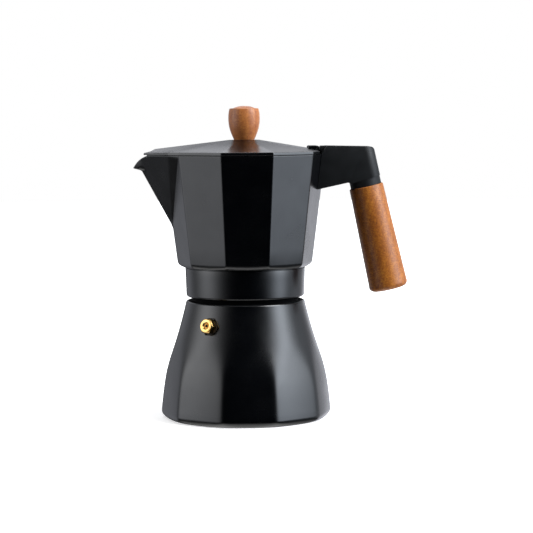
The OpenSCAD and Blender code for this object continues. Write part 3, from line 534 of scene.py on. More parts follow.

# Painted shade: the plunger's steel is nearly black, for the dark in the hole of the cap, with a
# low sheen and a faint uneven tone.
PLUNGER_TONE_MM = 0.8
hole_shade_steel, tree, metal, place = new_material("painted_shade_plunger_steel", {"Metallic": 1.0, "Roughness": 0.45})
noise = {"Vector": place, "Scale": 1 / (PLUNGER_TONE_MM * MM), "Detail": 4.0}
plunger_tone = node(tree, "ShaderNodeTexNoise", noise)
tint = node(tree, "ShaderNodeValToRGB", {"Fac": plunger_tone.outputs["Fac"]},
            stops=[(0.3, "#0a0a0b"), (0.7, "#1a1a1c")])
tree.links.new(tint.outputs["Color"], metal.inputs["Base Color"])

# Bright zinc on steel: pale grey, a little blue, with a fine uneven grain.
GRAIN_MM = 0.7
steel, tree, metal, place = new_material("zinc_plated_steel", {"Metallic": 1.0})
grain = node(tree, "ShaderNodeTexNoise", {
    "Vector": place, "Scale": 1 / (GRAIN_MM * MM), "Detail": 5.0,
}).outputs["Fac"]
tint = node(tree, "ShaderNodeValToRGB", {"Fac": grain}, stops=[(0.3, "#a9adb2"), (0.7, "#d0d4d8")])
tree.links.new(tint.outputs["Color"], metal.inputs["Base Color"])
gloss = node(tree, "ShaderNodeMapRange", {"Value": grain, 1: 0.3, 2: 0.7, 3: 0.18, 4: 0.3})
tree.links.new(gloss.outputs[0], metal.inputs["Roughness"])

# Vulcanised fibre: nearly black and matt, with short fibres in the pressed sheet.
HAIR_MM = 0.4
fibre, tree, board, place = new_material("vulcanised_fibre", {"Roughness": 0.75})
noise = {"Vector": place, "Scale": 1 / (HAIR_MM * MM), "Detail": 6.0}
hairs = node(tree, "ShaderNodeTexNoise", noise)
tint = node(tree, "ShaderNodeValToRGB", {"Fac": hairs.outputs["Fac"]},
            stops=[(0.3, "#17120f"), (0.7, "#2c211c")])
tree.links.new(tint.outputs["Color"], board.inputs["Base Color"])


def dress(part, material):
    """Puts a material on a CAD node that stays as it is."""
    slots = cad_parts[part].data.materials
    slots.clear()
    slots.append(material)


finish(valve_hex, "boiler", "valve_brass", brass, replaces="valve_body")
dress("valve_cap", cap_brass)
dress("valve_washer", fibre)
dress("valve_plunger", hole_shade_steel)
dress("valve_spring", steel)

# ---- Funnel and seal ----
# The basket, its sieve, the riser tube and the filter plate are pressed from aluminium sheet. They
# are loose: the seal, a ring of pale silicone, holds them down when the pot is screwed together.

# Pressed aluminium sheet: satin, with a soft mottle from the press and the washing drum.
MOTTLE_MM, TUMBLE_MM = 3, 0.35
pressed, tree, metal, place = new_material("pressed_aluminium", {"Metallic": 1.0})
mottle = node(tree, "ShaderNodeTexNoise", {
    "Vector": place, "Scale": 1 / (MOTTLE_MM * MM), "Detail": 5.0,
}).outputs["Fac"]
tint = node(tree, "ShaderNodeValToRGB", {"Fac": mottle}, stops=[(0.3, "#b4b7ba"), (0.7, "#d2d4d6")])
tree.links.new(tint.outputs["Color"], metal.inputs["Base Color"])
gloss = node(tree, "ShaderNodeMapRange", {"Value": mottle, 1: 0.3, 2: 0.7, 3: 0.26, 4: 0.38})
tree.links.new(gloss.outputs[0], metal.inputs["Roughness"])
tumble = node(tree, "ShaderNodeTexNoise", {
    "Vector": place, "Scale": 1 / (TUMBLE_MM * MM), "Detail": 3.0,
}).outputs["Fac"]
bump = node(tree, "ShaderNodeBump", {"Height": tumble, "Strength": 0.2, "Distance": 0.02 * MM})
tree.links.new(bump.outputs[0], metal.inputs["Normal"])
for part in ("funnel_basket", "funnel_sieve", "funnel_tube", "filter_plate"):
    dress(part, pressed)
dress("coffee_column", bare)

# Silicone rubber: off-white and matt, a little dusty.
DUST_MM = 2
silicone, tree, gum, place = new_material(
    "silicone_rubber", {"Roughness": 0.55, "Subsurface Weight": 0.15, "Subsurface Scale": 1.5 * MM}
)
noise = {"Vector": place, "Scale": 1 / (DUST_MM * MM), "Detail": 5.0}
dust = node(tree, "ShaderNodeTexNoise", noise)
tint = node(tree, "ShaderNodeValToRGB", {"Fac": dust.outputs["Fac"]},
            stops=[(0.3, "#d8d3c6"), (0.7, "#e9e5da")])
tree.links.new(tint.outputs["Color"], gum.inputs["Base Color"])

FLANGE_TOP_Z, CEILING_Z = 89.2, 92.6
SEAL = [
    (26.2, 89.7), (26.25, 89.4), (26.5, FLANGE_TOP_Z), (32.0, FLANGE_TOP_Z), (32.3, 89.35),
    (32.4, 89.7), (32.4, 92.1), (32.3, 92.45), (32.0, CEILING_Z), (28.1, CEILING_Z), (27.8, 92.5),
    (27.7, 92.2), (27.7, 90.4), (26.4, 90.4), (26.2, 90.2),
]
seal = turned("seal_ring", SEAL, ring=True)
finish(seal, "seal", "seal_rubber", silicone, replaces="gasket")

# ---- Collector ----
# One aluminium casting: a threaded collar, and a ten-sided vessel with crisp corners that opens
# upwards and has its spout drawn out of one corner. It is lacquered outside and bare inside.

COLLAR_Z, COLLAR_R, COLLAR_TOP_R, COLLAR_EDGE_R = 76.3, 37.05, 37.6, 1.6
COLLAR_BORE_R, COLLAR_ROOT_R = 33.9, 34.6
LEDGE_Z, LEDGE_R, LEDGE_FOOT_R, LEDGE_H = 95.0, 42.0, 38.3, 3.4
FLOOR_Z, FLOOR_R, FLOOR_EDGE_R, WALL = 96.2, 34.5, 4.0, 2.2
LEAN = tan(radians(7.2))
RIM_Z = 164.9
RIM_R = LEDGE_R + (RIM_Z - LEDGE_Z) * LEAN
RIM_SOFT, CORNER_SOFT, CORNER_HOLD = 0.2, 0.6, 0.5
SIDE_SHARE = cos(radians(18))  # how far a side's middle lies out, as a share of its corners
KEEL_Z, KEEL_OUT, LIP_Z, LIP_FLARE = 120.2, 18.7, 157.0, 2.3
KEEL_INSET = 1.36  # how far the keel goes in for each mm that the sides beside it do
INNER_RISE, INNER_FLARE = 1.3, 1.3  # the lip inside starts so much higher, and flares over less
CHEEK, CHEEK_TURN = 8.3, radians(40)  # from the rim's corner to the corner beside the spout
LIP_SHARE = 0.82  # how far the lip's point lies from the spout's side towards the keel
# Under the keel, and for this share of its height, the spout's points lie on the plain decagon, so
# many mm from its corner.
PLAIN_SHARE, PLAIN_POINTS = 0.045, (1.9, 1.4, 0.7)
ARC_R, ARC_X, TIP_Z = 13.0, 57.3, 157.55  # the spout's edge falls in an arc to its tip
EDGE_FROM_Z = LIP_Z - 0.4  # from here up, the rings lean over to follow the falling edge
EDGE_TRIES, ARC_MARGIN = 4, 8  # see rim_ring; the margin is in mm before the arc

COLLAR_INSIDE = [
    (3.3, 95.05), (3.3, 94.1), (20, CEILING_Z), (COLLAR_ROOT_R, CEILING_Z), (COLLAR_ROOT_R, 77.4),
    (COLLAR_ROOT_R + 0.6, COLLAR_Z + 0.2), (COLLAR_ROOT_R + 0.8, COLLAR_Z),
]
COLLAR_OUTSIDE = [
    (COLLAR_R + 0.17, 83), (COLLAR_R + 0.35, 89), (COLLAR_TOP_R, 94.0), (COLLAR_TOP_R - 0.08, 94.3),
    (COLLAR_TOP_R - 0.3, 94.45), (COLLAR_TOP_R - 0.6, 94.5), (COLLAR_TOP_R - 0.6, 95.05),
]
collar_edge = [
    (COLLAR_R - COLLAR_EDGE_R * (1 - sin(a)), COLLAR_Z + COLLAR_EDGE_R * (1 - cos(a)))
    for a in quarter(6)
]
collar = turned(
    "collector_collar", COLLAR_INSIDE + collar_edge + COLLAR_OUTSIDE, corners=160, ring=True
)


def around(radius, degrees):
    """A point in the XY plane, at an angle from +X."""
    return Vector((radius * cos(radians(degrees)), radius * sin(radians(degrees))))


def decagon(radius, first, last):
    """Corners of a decagon, from the first to before the last."""
    return [around(radius, 36 * k) for k in range(first, last)]


def outline(corners, mids, soft=CORNER_SOFT):
    """A polygon with each corner eased by an arc, held by a point on both sides of it, and with
    mids[i] points along the side that follows corner i."""
    count = len(corners)
    points = []
    for i, corner in enumerate(corners):
        back, ahead = corners[i - 1] - corner, corners[(i + 1) % count] - corner
        reach = []
        for side, mid in ((back, mids[i - 1]), (ahead, mids[i])):
            far = min(soft + CORNER_HOLD, 0.7 * side.length / (mid + 1))
            reach.append((side.normalized() * min(soft, 0.55 * far), side.normalized() * far))
        (soft_b, far_b), (soft_a, far_a) = reach
        points.append(corner + far_b)
        points += [corner + soft_b * (1 - t) ** 2 + soft_a * t ** 2 for t in (0, 1 / 3, 2 / 3, 1)]
        points.append(corner + far_a)
        shares = [k / (mids[i] + 1) for k in range(1, mids[i] + 1)]
        points += [corner.lerp(corners[(i + 1) % count], share) for share in shares]
    return points


def corner_r(z):
    """Distance of the decagon's corners from the axis at a height, outside."""
    return LEDGE_R + (z - LEDGE_Z) * LEAN


def keel_line(z, inset):
    """Distance of the spout's straight keel from the axis at a height."""
    start = corner_r(KEEL_Z)
    line = start + (RIM_R + KEEL_OUT - start) * (z - KEEL_Z) / (RIM_Z - KEEL_Z)
    return line - KEEL_INSET * inset


def keel_x(z, inset):
    """The same, with the lip that it runs out to near the top."""
    line = keel_line(z, inset)
    outside = inset < WALL / 2
    level, flare = (LIP_Z, LIP_FLARE) if outside else (LIP_Z + INNER_RISE, INNER_FLARE)
    end = RIM_R + KEEL_OUT + 0.1 - inset
    return line + (max(line, end) - line) * smooth((z - level + flare) / flare) ** 2


def cheek_point(radius, inset):
    """The corner where the outline turns off to the spout, drawn in by "inset"."""
    point = around(radius, 144) - Vector((cos(CHEEK_TURN), sin(CHEEK_TURN))) * CHEEK
    return point + Vector((cos(pi / 4), -sin(pi / 4))) * inset


def vessel_corners(z, inset):
    """Corners of the vessel's outline at a height, drawn in by "inset", from +X round to the spout
    and back. Five of them shape the spout: below the keel they lie on the plain decagon."""
    start_z = KEEL_Z + inset
    r = corner_r(z) - inset / SIDE_SHARE
    t = (z - start_z) / (RIM_Z - start_z)
    near, tip = around(r, 144), Vector((-r, 0))
    if t < PLAIN_SHARE:
        along = (near - tip).normalized()
        meet, side, lip = (tip + along * d for d in PLAIN_POINTS)
    else:
        foot = Vector((-(corner_r(start_z) - inset / SIDE_SHARE), 0))
        meet = tip.lerp(near, min(0.985, t * (RIM_R - inset) / r))
        side = foot.lerp(cheek_point(RIM_R, inset), t)
        lip = side.lerp(Vector((-keel_line(z, inset), 0)), LIP_SHARE)
        tip = Vector((-keel_x(z, inset), 0))
    half = [near, meet, side, lip]
    mirrored = [Vector((p.x, -p.y)) for p in reversed(half)]
    return decagon(r, 0, 4) + half + [tip] + mirrored + decagon(r, 7, 10)


# Points along each side: enough for the round foot, and for the falling edge beside the spout.
VESSEL_MIDS = [3, 3, 3, 3, 3, 1, 8, 3, 3, 8, 1, 3, 3, 3, 3, 3]


def vessel_ring(z, inset, foot=0.0, share=1.0):
    """The outline at a height. "share" brings it in from the decagon, at 1, to a circle, at 0."""
    points = outline(vessel_corners(z, inset), VESSEL_MIDS)
    return [p.normalized() * foot * (1 - share) + p * share for p in points]


def rim_height(x):
    """Height of the vessel's edge: level, then falling in an arc to the spout's tip."""
    fall = -x - ARC_X
    arc_z = RIM_Z - ARC_R + sqrt(max(0, ARC_R ** 2 - fall ** 2))
    return RIM_Z if fall <= 0 else max(TIP_Z, arc_z)


def rim_ring(part, inset, drop=0.0):
    """A ring that lies "drop" under the falling edge, or at a part of the way up to there. A point
    moves out as it rises, so near the spout its height is found in a few tries."""
    points = []
    for i, start in enumerate(vessel_ring(RIM_Z, inset)):
        point, z = start, RIM_Z
        for _ in range(EDGE_TRIES if start.x < ARC_MARGIN - ARC_X else 1):
            z = EDGE_FROM_Z + (rim_height(point.x) - drop - EDGE_FROM_Z) * part
            point = vessel_ring(z, inset)[i]
        points.append((point.x, point.y, z))
    return points


def level_ring(z, inset, foot=0.0, share=1.0):
    """The outline at a height, as points in space."""
    return [(p.x, p.y, z) for p in vessel_ring(z, inset, foot, share)]


outer = [
    level_ring(LEDGE_Z + LEDGE_H * (1 - cos(a)), 0, LEDGE_FOOT_R, sin(a)) for a in quarter(6)[:-1]
]
OUTER_Z = (LEDGE_Z + LEDGE_H, 108, KEEL_Z - 1, KEEL_Z + 2.1, 126, 134, 142, 150)
outer += [level_ring(z, 0) for z in OUTER_Z]
outer += [level_ring(LIP_Z - LIP_FLARE * k, 0) for k in (1.0, 0.8, 0.6, 0.4, 0.25)]
outer += [rim_ring(part, 0) for part in (0.0, 0.35, 0.7)]
outer += [rim_ring(1, 0, RIM_SOFT + 0.5), rim_ring(1, 0, RIM_SOFT)]
outer += [rim_ring(1, 0.06, 0.06), rim_ring(1, RIM_SOFT)]
inner = [rim_ring(1, WALL - RIM_SOFT), rim_ring(1, WALL - 0.06, 0.06), rim_ring(1, WALL, RIM_SOFT)]
inner += [rim_ring(part, WALL) for part in (0.7, 0.35, 0.0)]
INNER_Z = (150, 142, 134, 128, KEEL_Z + WALL + 2.1, KEEL_Z + WALL - 1, 110)
inner += [level_ring(z, WALL) for z in INNER_Z]
inner += [
    level_ring(FLOOR_Z + FLOOR_EDGE_R * (1 - cos(a)), WALL, FLOOR_R, sin(a))
    for a in [radians(degrees) for degrees in (90, 70, 50, 30, 12, 0)]
]
vessel = drawn("collector_vessel", outer + inner)
carve(vessel, turned("column_seat_tool", [(4.9, 90), (4.9, 98)], corners=48))
finish(vessel, "collector", "body_lacquer", lacquer, bare, replaces="collector")
# Bare inside: the walls first, then the floor and its rounded edge.
paint(vessel, 1, lambda face: face.normal.xy.dot(face.center.xy) < -0.1 * MM)
paint(vessel, 1, lambda face: face.normal.z > 0.6 and 96 * MM < face.center.z < 110 * MM)
finish(collar, "collector", "body_lacquer", lacquer, bare, joint_shade_black, replaces="collector")
# Bare in the bore, and painted shade on the foot.
paint(collar, 1, lambda face: face.center.xy.length < (COLLAR_ROOT_R + 0.3) * MM)
paint(collar, 2, lambda face: face.normal.z < -0.9 and face.center.z < 77 * MM)
collar_thread = threaded("collar_thread", COLLAR_ROOT_R + 0.1, COLLAR_BORE_R, 78.4, turns=2.6)
finish(collar_thread, "collector", "bare_aluminium", bare)


def flat_plate(name, outline_xz, y_low, y_high, edge):
    """A plate with its outline in the XZ plane, and its edges eased."""
    piece = drawn(name, [[(x, y, z) for x, z in outline_xz] for y in (y_low, y_high)])
    if edge:
        modify(
            piece, "BEVEL", width=edge * MM, segments=2, limit_method="ANGLE",
            angle_limit=radians(40), harden_normals=False,
        )
    return piece


def arc(x, z, radius, start, end, steps):
    """Points on an arc in the XZ plane, in degrees from +X towards +Z."""
    turns = [radians(start + (end - start) * i / steps) for i in range(steps + 1)]
    return [(x + radius * cos(a), z + radius * sin(a)) for a in turns]


# The cast tongue carries the handle bracket, and its knuckle takes the lid's hinge pin.
HINGE_X, HINGE_Z, KNUCKLE_R, PIN_R = 45.03, 168.4, 1.85, 1.0
TONGUE_W, TONGUE_X, TONGUE_LOW, TONGUE_HIGH = 6.0, 62.03, 148.9, 168.6
BRACKET_SCREW_X = 56.03
tongue = flat_plate(
    "collector_tongue",
    [(46.85, TONGUE_LOW), (TONGUE_X, TONGUE_LOW), (TONGUE_X, TONGUE_HIGH - 2)]
    + [(TONGUE_X - 2, TONGUE_HIGH), (HINGE_X + 2.4, TONGUE_HIGH)]
    + arc(HINGE_X, HINGE_Z, KNUCKLE_R, 84, 218, 12)
    + [(47.4, 159.4), (47.0, 152.0)],
    -TONGUE_W / 2, TONGUE_W / 2, 0.3,
)
screw_bore = turned("tongue_bore_tool", [(1.96, -0.1), (1.96, 9.0), (0.4, 10.0)], corners=32)
put(screw_bore, Matrix.Translation(Vector((BRACKET_SCREW_X, 0, TONGUE_LOW)) * MM))
carve(tongue, screw_bore)
finish(tongue, "collector", "body_lacquer", lacquer, replaces="collector")

# ---- Lid ----
# One aluminium casting, lacquered all over. Ten crisp facets rise from its lip to a flat for the
# knob, and a ridge runs out over the spout. Two ears behind turn on the hinge pin.

LID_Z, LIP_TOP_Z, FLAT_Z = 165.2, 167.0, 174.1
LID_R, FLAT_R, LID_WALL = 50.93, 9.5, 1.7
BEAK_X, BEAK_HALF_W, BEAK_DROP = 62.73, 7.0, 0.7
RIDGE_X, RIDGE_HALF_W, RIDGE_FALL = 55.63, 1.1, 5.3
RIDGE_FOOT_X, RIDGE_FOOT_FALL = 2.9, 1.5  # how much further out and down the ridge's foot lies
NEAR = 0.86  # where the ridge ends, as a share of the way out from the flat to the lip
FLAT_SIDE = 158.4  # degrees: where the facet beside the ridge starts on the flat
LIP_ROUND = 0.35


def lid_outline(r, z, side, side_z, beak, beak_z):
    """A ring of the lid: a decagon of radius r, but for the corner beside the beak and the end of
    the beak, which has its own half width and height."""
    corners = [(p, z) for p in decagon(r, 0, 5)]
    corners += [(side, side_z), (Vector((-beak[0], beak[1])), beak_z)]
    corners += [(Vector((-beak[0], -beak[1])), beak_z), (Vector((side.x, -side.y)), side_z)]
    corners += [(p, z) for p in decagon(r, 6, 10)]
    points = [Vector((p.x, p.y, height)) for p, height in corners]
    return [tuple(p) for p in outline(points, [0] * len(points), soft=LIP_ROUND)]


def lid_level(inset, z, beak_z=None):
    """A ring straight round the lid's edge."""
    beak = (BEAK_X - 1.1 * inset, BEAK_HALF_W - 0.6 * inset)
    beak_z = z if beak_z is None else beak_z
    return lid_outline(LID_R - inset / SIDE_SHARE, z, cheek_point(LID_R, inset), z, beak, beak_z)


def lid_roof(inset, drop, part):
    """A ring on the roof: 1 where the ridge ends, 2 just inside it, 3 round the flat."""
    flat_side, cheek = around(FLAT_R - inset, FLAT_SIDE), cheek_point(LID_R, inset)
    near_r = FLAT_R + (LID_R - FLAT_R) * NEAR - inset / SIDE_SHARE
    near_z = FLAT_Z + (LIP_TOP_Z - FLAT_Z) * NEAR - drop
    ridge_z = FLAT_Z - RIDGE_FALL - drop
    if part == 1:
        half_w = RIDGE_HALF_W + (BEAK_HALF_W - RIDGE_HALF_W) * 0.3
        beak, beak_z = (RIDGE_X + RIDGE_FOOT_X - inset, half_w), ridge_z - RIDGE_FOOT_FALL
        return lid_outline(near_r, near_z, flat_side.lerp(cheek, NEAR), near_z, beak, beak_z)
    if part == 2:
        z = near_z + 2 * (FLAT_Z - LIP_TOP_Z) / (LID_R - FLAT_R)
        side = flat_side.lerp(cheek, NEAR - 0.05)
        return lid_outline(near_r - 2, z, side, z, (RIDGE_X - inset, RIDGE_HALF_W), ridge_z)
    beak, z = (FLAT_R - inset, RIDGE_HALF_W), FLAT_Z - drop
    return lid_outline(FLAT_R - inset, z, flat_side, z, beak, z)


beak_top = LIP_TOP_Z - BEAK_DROP
lid = drawn("lid_shell", [
    lid_roof(0, 0, 3), lid_roof(0, 0, 2), lid_roof(0, 0, 1),
    lid_level(LIP_ROUND + 0.6, LIP_TOP_Z + 0.16, beak_top + 0.16),
    lid_level(LIP_ROUND, LIP_TOP_Z + 0.06, beak_top + 0.06),
    lid_level(0.1, LIP_TOP_Z - 0.1, beak_top - 0.1),
    lid_level(0, LIP_TOP_Z - LIP_ROUND, beak_top - LIP_ROUND),
    lid_level(0, LID_Z + 0.12), lid_level(0.04, LID_Z + 0.04), lid_level(0.12, LID_Z),
    lid_level(LID_WALL, LID_Z), lid_level(LID_WALL, LIP_TOP_Z - LID_WALL, beak_top - LID_WALL),
    lid_roof(LID_WALL, LID_WALL, 1), lid_roof(LID_WALL, LID_WALL, 2),
    lid_roof(LID_WALL, LID_WALL, 3),
])


def block(name, x, y, z):
    """A box-shaped tool between the given limits on each axis."""
    bpy.ops.object.select_all(action="DESELECT")
    bpy.ops.mesh.primitive_cube_add(size=1)
    tool = bpy.context.object
    tool.name = name
    for corner in tool.data.vertices:
        picked = [limits[int(side > 0)] for limits, side in zip((x, y, z), corner.co)]
        corner.co = Vector(picked) * MM
    return tool


EAR_IN, EAR_OUT = 3.35, 7.95
HINGE_WALL = (HINGE_X - 4, HINGE_X - 0.9), (-15.5, 15.5), (LID_Z, 167.1)
BOSS = [(5.3, 168.7), (5.6, 169.0), (5.6, 173)]
carve(lid, block("hinge_wall_tool", *HINGE_WALL), "UNION")
carve(lid, turned("boss_tool", BOSS, corners=64), "UNION")
carve(lid, block("notch_tool", (HINGE_X - 1, 60), (-14.5, 14.5), (160, 175)))
ear_outline = (
    [(HINGE_X - 5, HINGE_Z - 2.2), (HINGE_X - 0.8, HINGE_Z - 2.2)]
    + arc(HINGE_X, HINGE_Z, KNUCKLE_R, -68, 90, 14)
    + arc(HINGE_X - 4.4, HINGE_Z + KNUCKLE_R - 1, 1, 90, 176, 6)
)
for low, high in ((-EAR_OUT, -EAR_IN), (EAR_IN, EAR_OUT)):
    carve(lid, flat_plate("ear_tool", ear_outline, low, high, 0.35), "UNION")
carve(lid, block("tongue_slot_tool", (HINGE_X - 2.35, 60), (-EAR_IN, EAR_IN), (160, 175)))
carve(lid, turned("knob_hole_tool", [(2.05, 165), (2.05, 176)], corners=32))
pin_hole = turned("pin_hole_tool", [(PIN_R + 0.05, -20), (PIN_R + 0.05, 20)], corners=32)
hinge_line = Matrix.Translation(Vector((HINGE_X, 0, HINGE_Z)) * MM)
carve(lid, put(pin_hole, hinge_line @ Matrix.Rotation(pi / 2, 4, "X")))
shade(lid, 25)
finish(lid, "lid", "body_lacquer", lacquer, replaces="lid")
dress("hinge_pin", steel)

# ---- Knob and grip ----
# Both are turned from one kind of brown hardwood, sanded, and oiled to a soft sheen. The grip
# leans with the bracket, and its grain runs along its axis.

GRIP_X, GRIP_Z, GRIP_LEAN, GRIP_L = 76.33, 144.6, radians(12.5), 66.3
GRIP_TOP_R, GRIP_END_R, EDGE_TOP, EDGE_END = 10.7, 12.2, 0.7, 3.1
# Radius and height of each step: up the screw's hole, out under the foot, and up round the outside.
KNOB = [
    (2.0, 187.2), (2.0, FLAT_Z), (6.1, FLAT_Z), (6.4, FLAT_Z + 0.12), (6.5, FLAT_Z + 0.35),
    (6.68, 174.8), (7.19, 176.0), (7.75, 177.25), (8.24, 178.5), (8.66, 179.75), (9.03, 181.0),
    (9.31, 182.25), (9.52, 183.5), (9.68, 184.75), (9.78, 186.0), (9.82, 187.25), (9.8, 188.5),
    (9.74, 189.75), (9.6, 191.0), (9.38, 192.2), (9.2, 192.95), (9.1, 193.3), (8.95, 193.55),
    (8.7, 193.68), (8.3, 193.72), (7.2, 193.72), (6.9, 193.76), (6.6, 193.88), (6.1, 194.12),
    (5.2, 194.5), (4.2, 194.82), (3.0, 195.05), (1.6, 195.18), (0.5, 195.22),
]
RIBBON_MM, FIGURE_MM, PORE_MM = 2.6, 0.8, 0.3
FIGURE_SHARE, PORE_SHARE = 0.62, 0.75
BROWN_PLACES = (0.38, 0.465, 0.535, 0.62)
# The knob's browns are lighter than the grip's, on one wood: painted light on the knob and painted
# shade on the grip.
KNOB_BROWNS = ("#934f21", "#9f5b28", "#ac672e", "#b87237")
GRIP_BROWNS = ("#83450f", "#945314", "#a5601a", "#b67023")


def hardwood(name, lean, sheen, browns):
    """Oiled hardwood: warm brown, with ribbons of shade along the grain, curly figure across it,
    fine dark pores and a low sheen. "lean" turns the grain to lie along the piece."""
    made, tree, wood, place = new_material(name, {"Sheen Weight": sheen, "Sheen Roughness": 0.4})
    along = node(tree, "ShaderNodeMapping", {"Vector": place, "Rotation": (0, lean, 0)}).outputs[0]
    # The grain runs along z. Each pattern is stretched its own way along or across it.
    stretched = [
        node(tree, "ShaderNodeMapping", {"Vector": along, "Scale": scale}).outputs[0]
        for scale in ((1, 1, 0.05), (0.4, 0.4, 1), (1, 1, 0.22))
    ]
    ribbon = node(tree, "ShaderNodeTexNoise", {
        "Vector": stretched[0], "Scale": 1 / (RIBBON_MM * MM), "Detail": 5.0, "Distortion": 0.4,
    }).outputs["Fac"]
    figure = node(tree, "ShaderNodeTexNoise", {
        "Vector": stretched[1], "Scale": 1 / (FIGURE_MM * MM), "Detail": 3.0, "Distortion": 1.5,
    }).outputs["Fac"]
    pores = node(tree, "ShaderNodeTexNoise", {
        "Vector": stretched[2], "Scale": 1 / (PORE_MM * MM), "Detail": 2.0,
    }).outputs["Fac"]
    mixed = node(tree, "ShaderNodeMix", {0: FIGURE_SHARE, 2: ribbon, 3: figure}).outputs[0]
    bands = list(zip(BROWN_PLACES, browns))
    tint = node(tree, "ShaderNodeValToRGB", {"Fac": mixed}, stops=bands).outputs["Color"]
    bands = [(0.3, "#5a2c12"), (0.37, "#ffffff")]
    dark = node(tree, "ShaderNodeValToRGB", {"Fac": pores}, stops=bands).outputs["Color"]
    shares = {0: PORE_SHARE, 6: tint, 7: dark}
    brown = node(tree, "ShaderNodeMix", shares, data_type="RGBA", blend_type="MULTIPLY")
    tree.links.new(brown.outputs[2], wood.inputs["Base Color"])
    gloss = node(tree, "ShaderNodeMapRange", {"Value": pores, 1: 0.35, 2: 0.6, 3: 0.56, 4: 0.38})
    tree.links.new(gloss.outputs[0], wood.inputs["Roughness"])
    bump = node(tree, "ShaderNodeBump", {"Height": pores, "Strength": 0.25, "Distance": 0.06 * MM})
    tree.links.new(bump.outputs[0], wood.inputs["Normal"])
    return made


knob = turned("turned_knob", KNOB)
knob_wood = hardwood("oiled_hardwood_knob", 0, 0.25, KNOB_BROWNS)
finish(knob, "lid", "grip_wood", knob_wood, replaces="knob")

grip_steps = [(2.4, 60.3), (2.4, 8.3), (6.1, 8.3), (6.1, 0.0)]
grip_steps += [
    (GRIP_TOP_R - EDGE_TOP * (1 - sin(a)), EDGE_TOP * (1 - cos(a))) for a in quarter(4)
]
grip_steps += [
    (GRIP_TOP_R + (GRIP_END_R - GRIP_TOP_R) * t, GRIP_L * t) for t in (0.2, 0.4, 0.6, 0.8, 0.94)
]
grip_steps += [
    (GRIP_END_R - EDGE_END * (1 - cos(a)), GRIP_L - EDGE_END * (1 - sin(a))) for a in quarter(8)
]
grip_steps += [(5.4, GRIP_L), (5.1, GRIP_L - 0.1), (5.0, GRIP_L - 0.4), (5.0, 60.3)]
grip_place = (
    Matrix.Translation(Vector((GRIP_X, 0, GRIP_Z)) * MM) @ Matrix.Rotation(pi - GRIP_LEAN, 4, "Y")
)
grip = put(turned("turned_grip", grip_steps, ring=True), grip_place)
grip_wood = hardwood("oiled_hardwood_grip", -GRIP_LEAN, 0.1, GRIP_BROWNS)
finish(grip, "collector", "grip_wood", grip_wood, replaces="handle_grip")

# ---- Handle bracket ----
# Black phenolic plastic, moulded in one piece and satin. It slides over the cast tongue, one screw
# from below holds it, and a stub with a brass insert takes the grip.

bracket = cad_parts["handle_bracket"].copy()
bracket.data = bracket.data.copy()
bracket.name = bracket.data.name = "bracket_moulding"
bpy.context.collection.objects.link(bracket)
bracket.data.materials.clear()
pick(bracket)
bpy.ops.object.mode_set(mode="EDIT")
bpy.ops.mesh.select_all(action="SELECT")
bpy.ops.mesh.remove_doubles(threshold=0.002 * MM)
bpy.ops.mesh.dissolve_limited(angle_limit=radians(0.5))
bpy.ops.object.mode_set(mode="OBJECT")
modify(
    bracket, "BEVEL", width=0.5 * MM, segments=3, limit_method="ANGLE", angle_limit=radians(35),
    use_clamp_overlap=True,
)
shade(bracket, 30)

# Phenolic moulding: near black and satin, with slow flow marks and the fine texture of the mould.
FLOW_MM, TEXTURE_MM = 8.0, 0.3
phenolic, tree, resin, place = new_material("moulded_phenolic", {"Specular IOR Level": 0.35})
flow = node(tree, "ShaderNodeTexNoise", {
    "Vector": place, "Scale": 1 / (FLOW_MM * MM), "Detail": 4.0,
}).outputs["Fac"]
tint = node(tree, "ShaderNodeValToRGB", {"Fac": flow}, stops=[(0.3, "#040608"), (0.7, "#080b0e")])
tree.links.new(tint.outputs["Color"], resin.inputs["Base Color"])
gloss = node(tree, "ShaderNodeMapRange", {"Value": flow, 1: 0.3, 2: 0.7, 3: 0.5, 4: 0.6})
tree.links.new(gloss.outputs[0], resin.inputs["Roughness"])
spark = node(tree, "ShaderNodeTexNoise", {
    "Vector": place, "Scale": 1 / (TEXTURE_MM * MM), "Detail": 2.0,
}).outputs["Fac"]
bump = node(tree, "ShaderNodeBump", {"Height": spark, "Strength": 0.15, "Distance": 0.03 * MM})
tree.links.new(bump.outputs[0], resin.inputs["Normal"])
finish(bracket, "collector", "bracket_plastic", phenolic, replaces="handle_bracket")

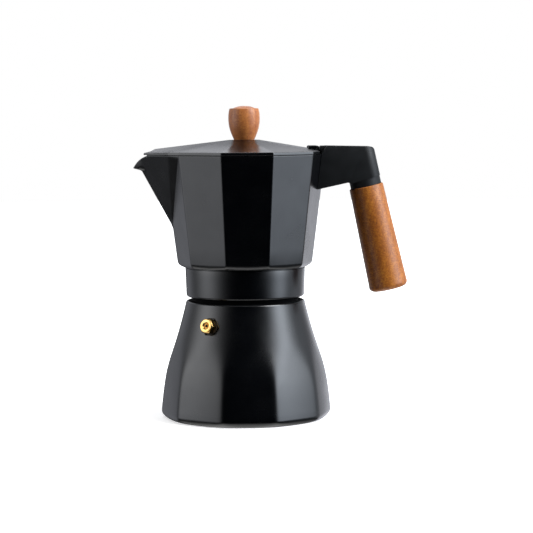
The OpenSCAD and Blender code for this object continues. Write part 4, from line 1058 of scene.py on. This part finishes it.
# ---- Screws ----
# Zinc-plated steel pan-head screws with a cross recess: one holds the knob, one the bracket and one
# the grip. The grip's runs up into the bracket's brass insert.

# The head's rounded profile from its crown out, and half widths and depth of the cross cut into
# it, as shares of its radius and height. Then the cross's half width and the shank's sizes in mm.
HEAD = [(0.45, 0.97), (0.75, 0.82), (0.93, 0.5), (1, 0.2)]
CROSS_TOP, CROSS_FLOOR, CROSS_DEEP = 0.5, 0.2, 0.3
CROSS_HALF_W, SCREW_R, POINT_R, POINT_L = 0.3, 1.95, 0.5, 1.2
# Each screw: its piece, body and CAD node, its length, its head's radius and height, and its place.
SCREWS = (
    ("knob_fixing_screw", "lid", "knob_screw", 18.2, 3.6, 2.2,
     Matrix.Translation(Vector((0, 0, 167.9)) * MM)),
    ("bracket_fixing_screw", "collector", "bracket_screw", 8.0, 3.5, 1.5,
     Matrix.Translation(Vector((BRACKET_SCREW_X, 0, 147.8)) * MM)),
    ("grip_fixing_screw", "collector", "grip_screw", 69.6, 3.6, 2.4,
     grip_place @ Matrix.Translation(Vector((0, 0, 61.1)) * MM) @ Matrix.Rotation(pi, 4, "X")),
)
for name, body, part, length, head_r, head_h, place in SCREWS:
    head = [(0.2, -head_h)] + [(head_r * out, -head_h * down) for out, down in HEAD]
    head += [(head_r, -0.05), (head_r - 0.05, 0)]
    shank = [(SCREW_R, 0), (SCREW_R, length - POINT_L), (POINT_R, length), (0.2, length)]
    screw = turned(name, head + shank, corners=48)
    top, low, deep = head_r * CROSS_TOP, head_r * CROSS_FLOOR, -head_h * CROSS_DEEP
    cross = [(-top, -head_h - 0.1), (top, -head_h - 0.1), (low, deep), (-low, deep)]
    for turn in (pi / 4, -pi / 4):
        slot = flat_plate("cross_tool", cross, -CROSS_HALF_W, CROSS_HALF_W, 0)
        carve(screw, put(slot, Matrix.Rotation(turn, 4, "Z")))
    finish(put(screw, place), body, "steel", steel, replaces=part)
dress("knob_washer", steel)
dress("grip_washer", steel)
dress("grip_insert", brass)
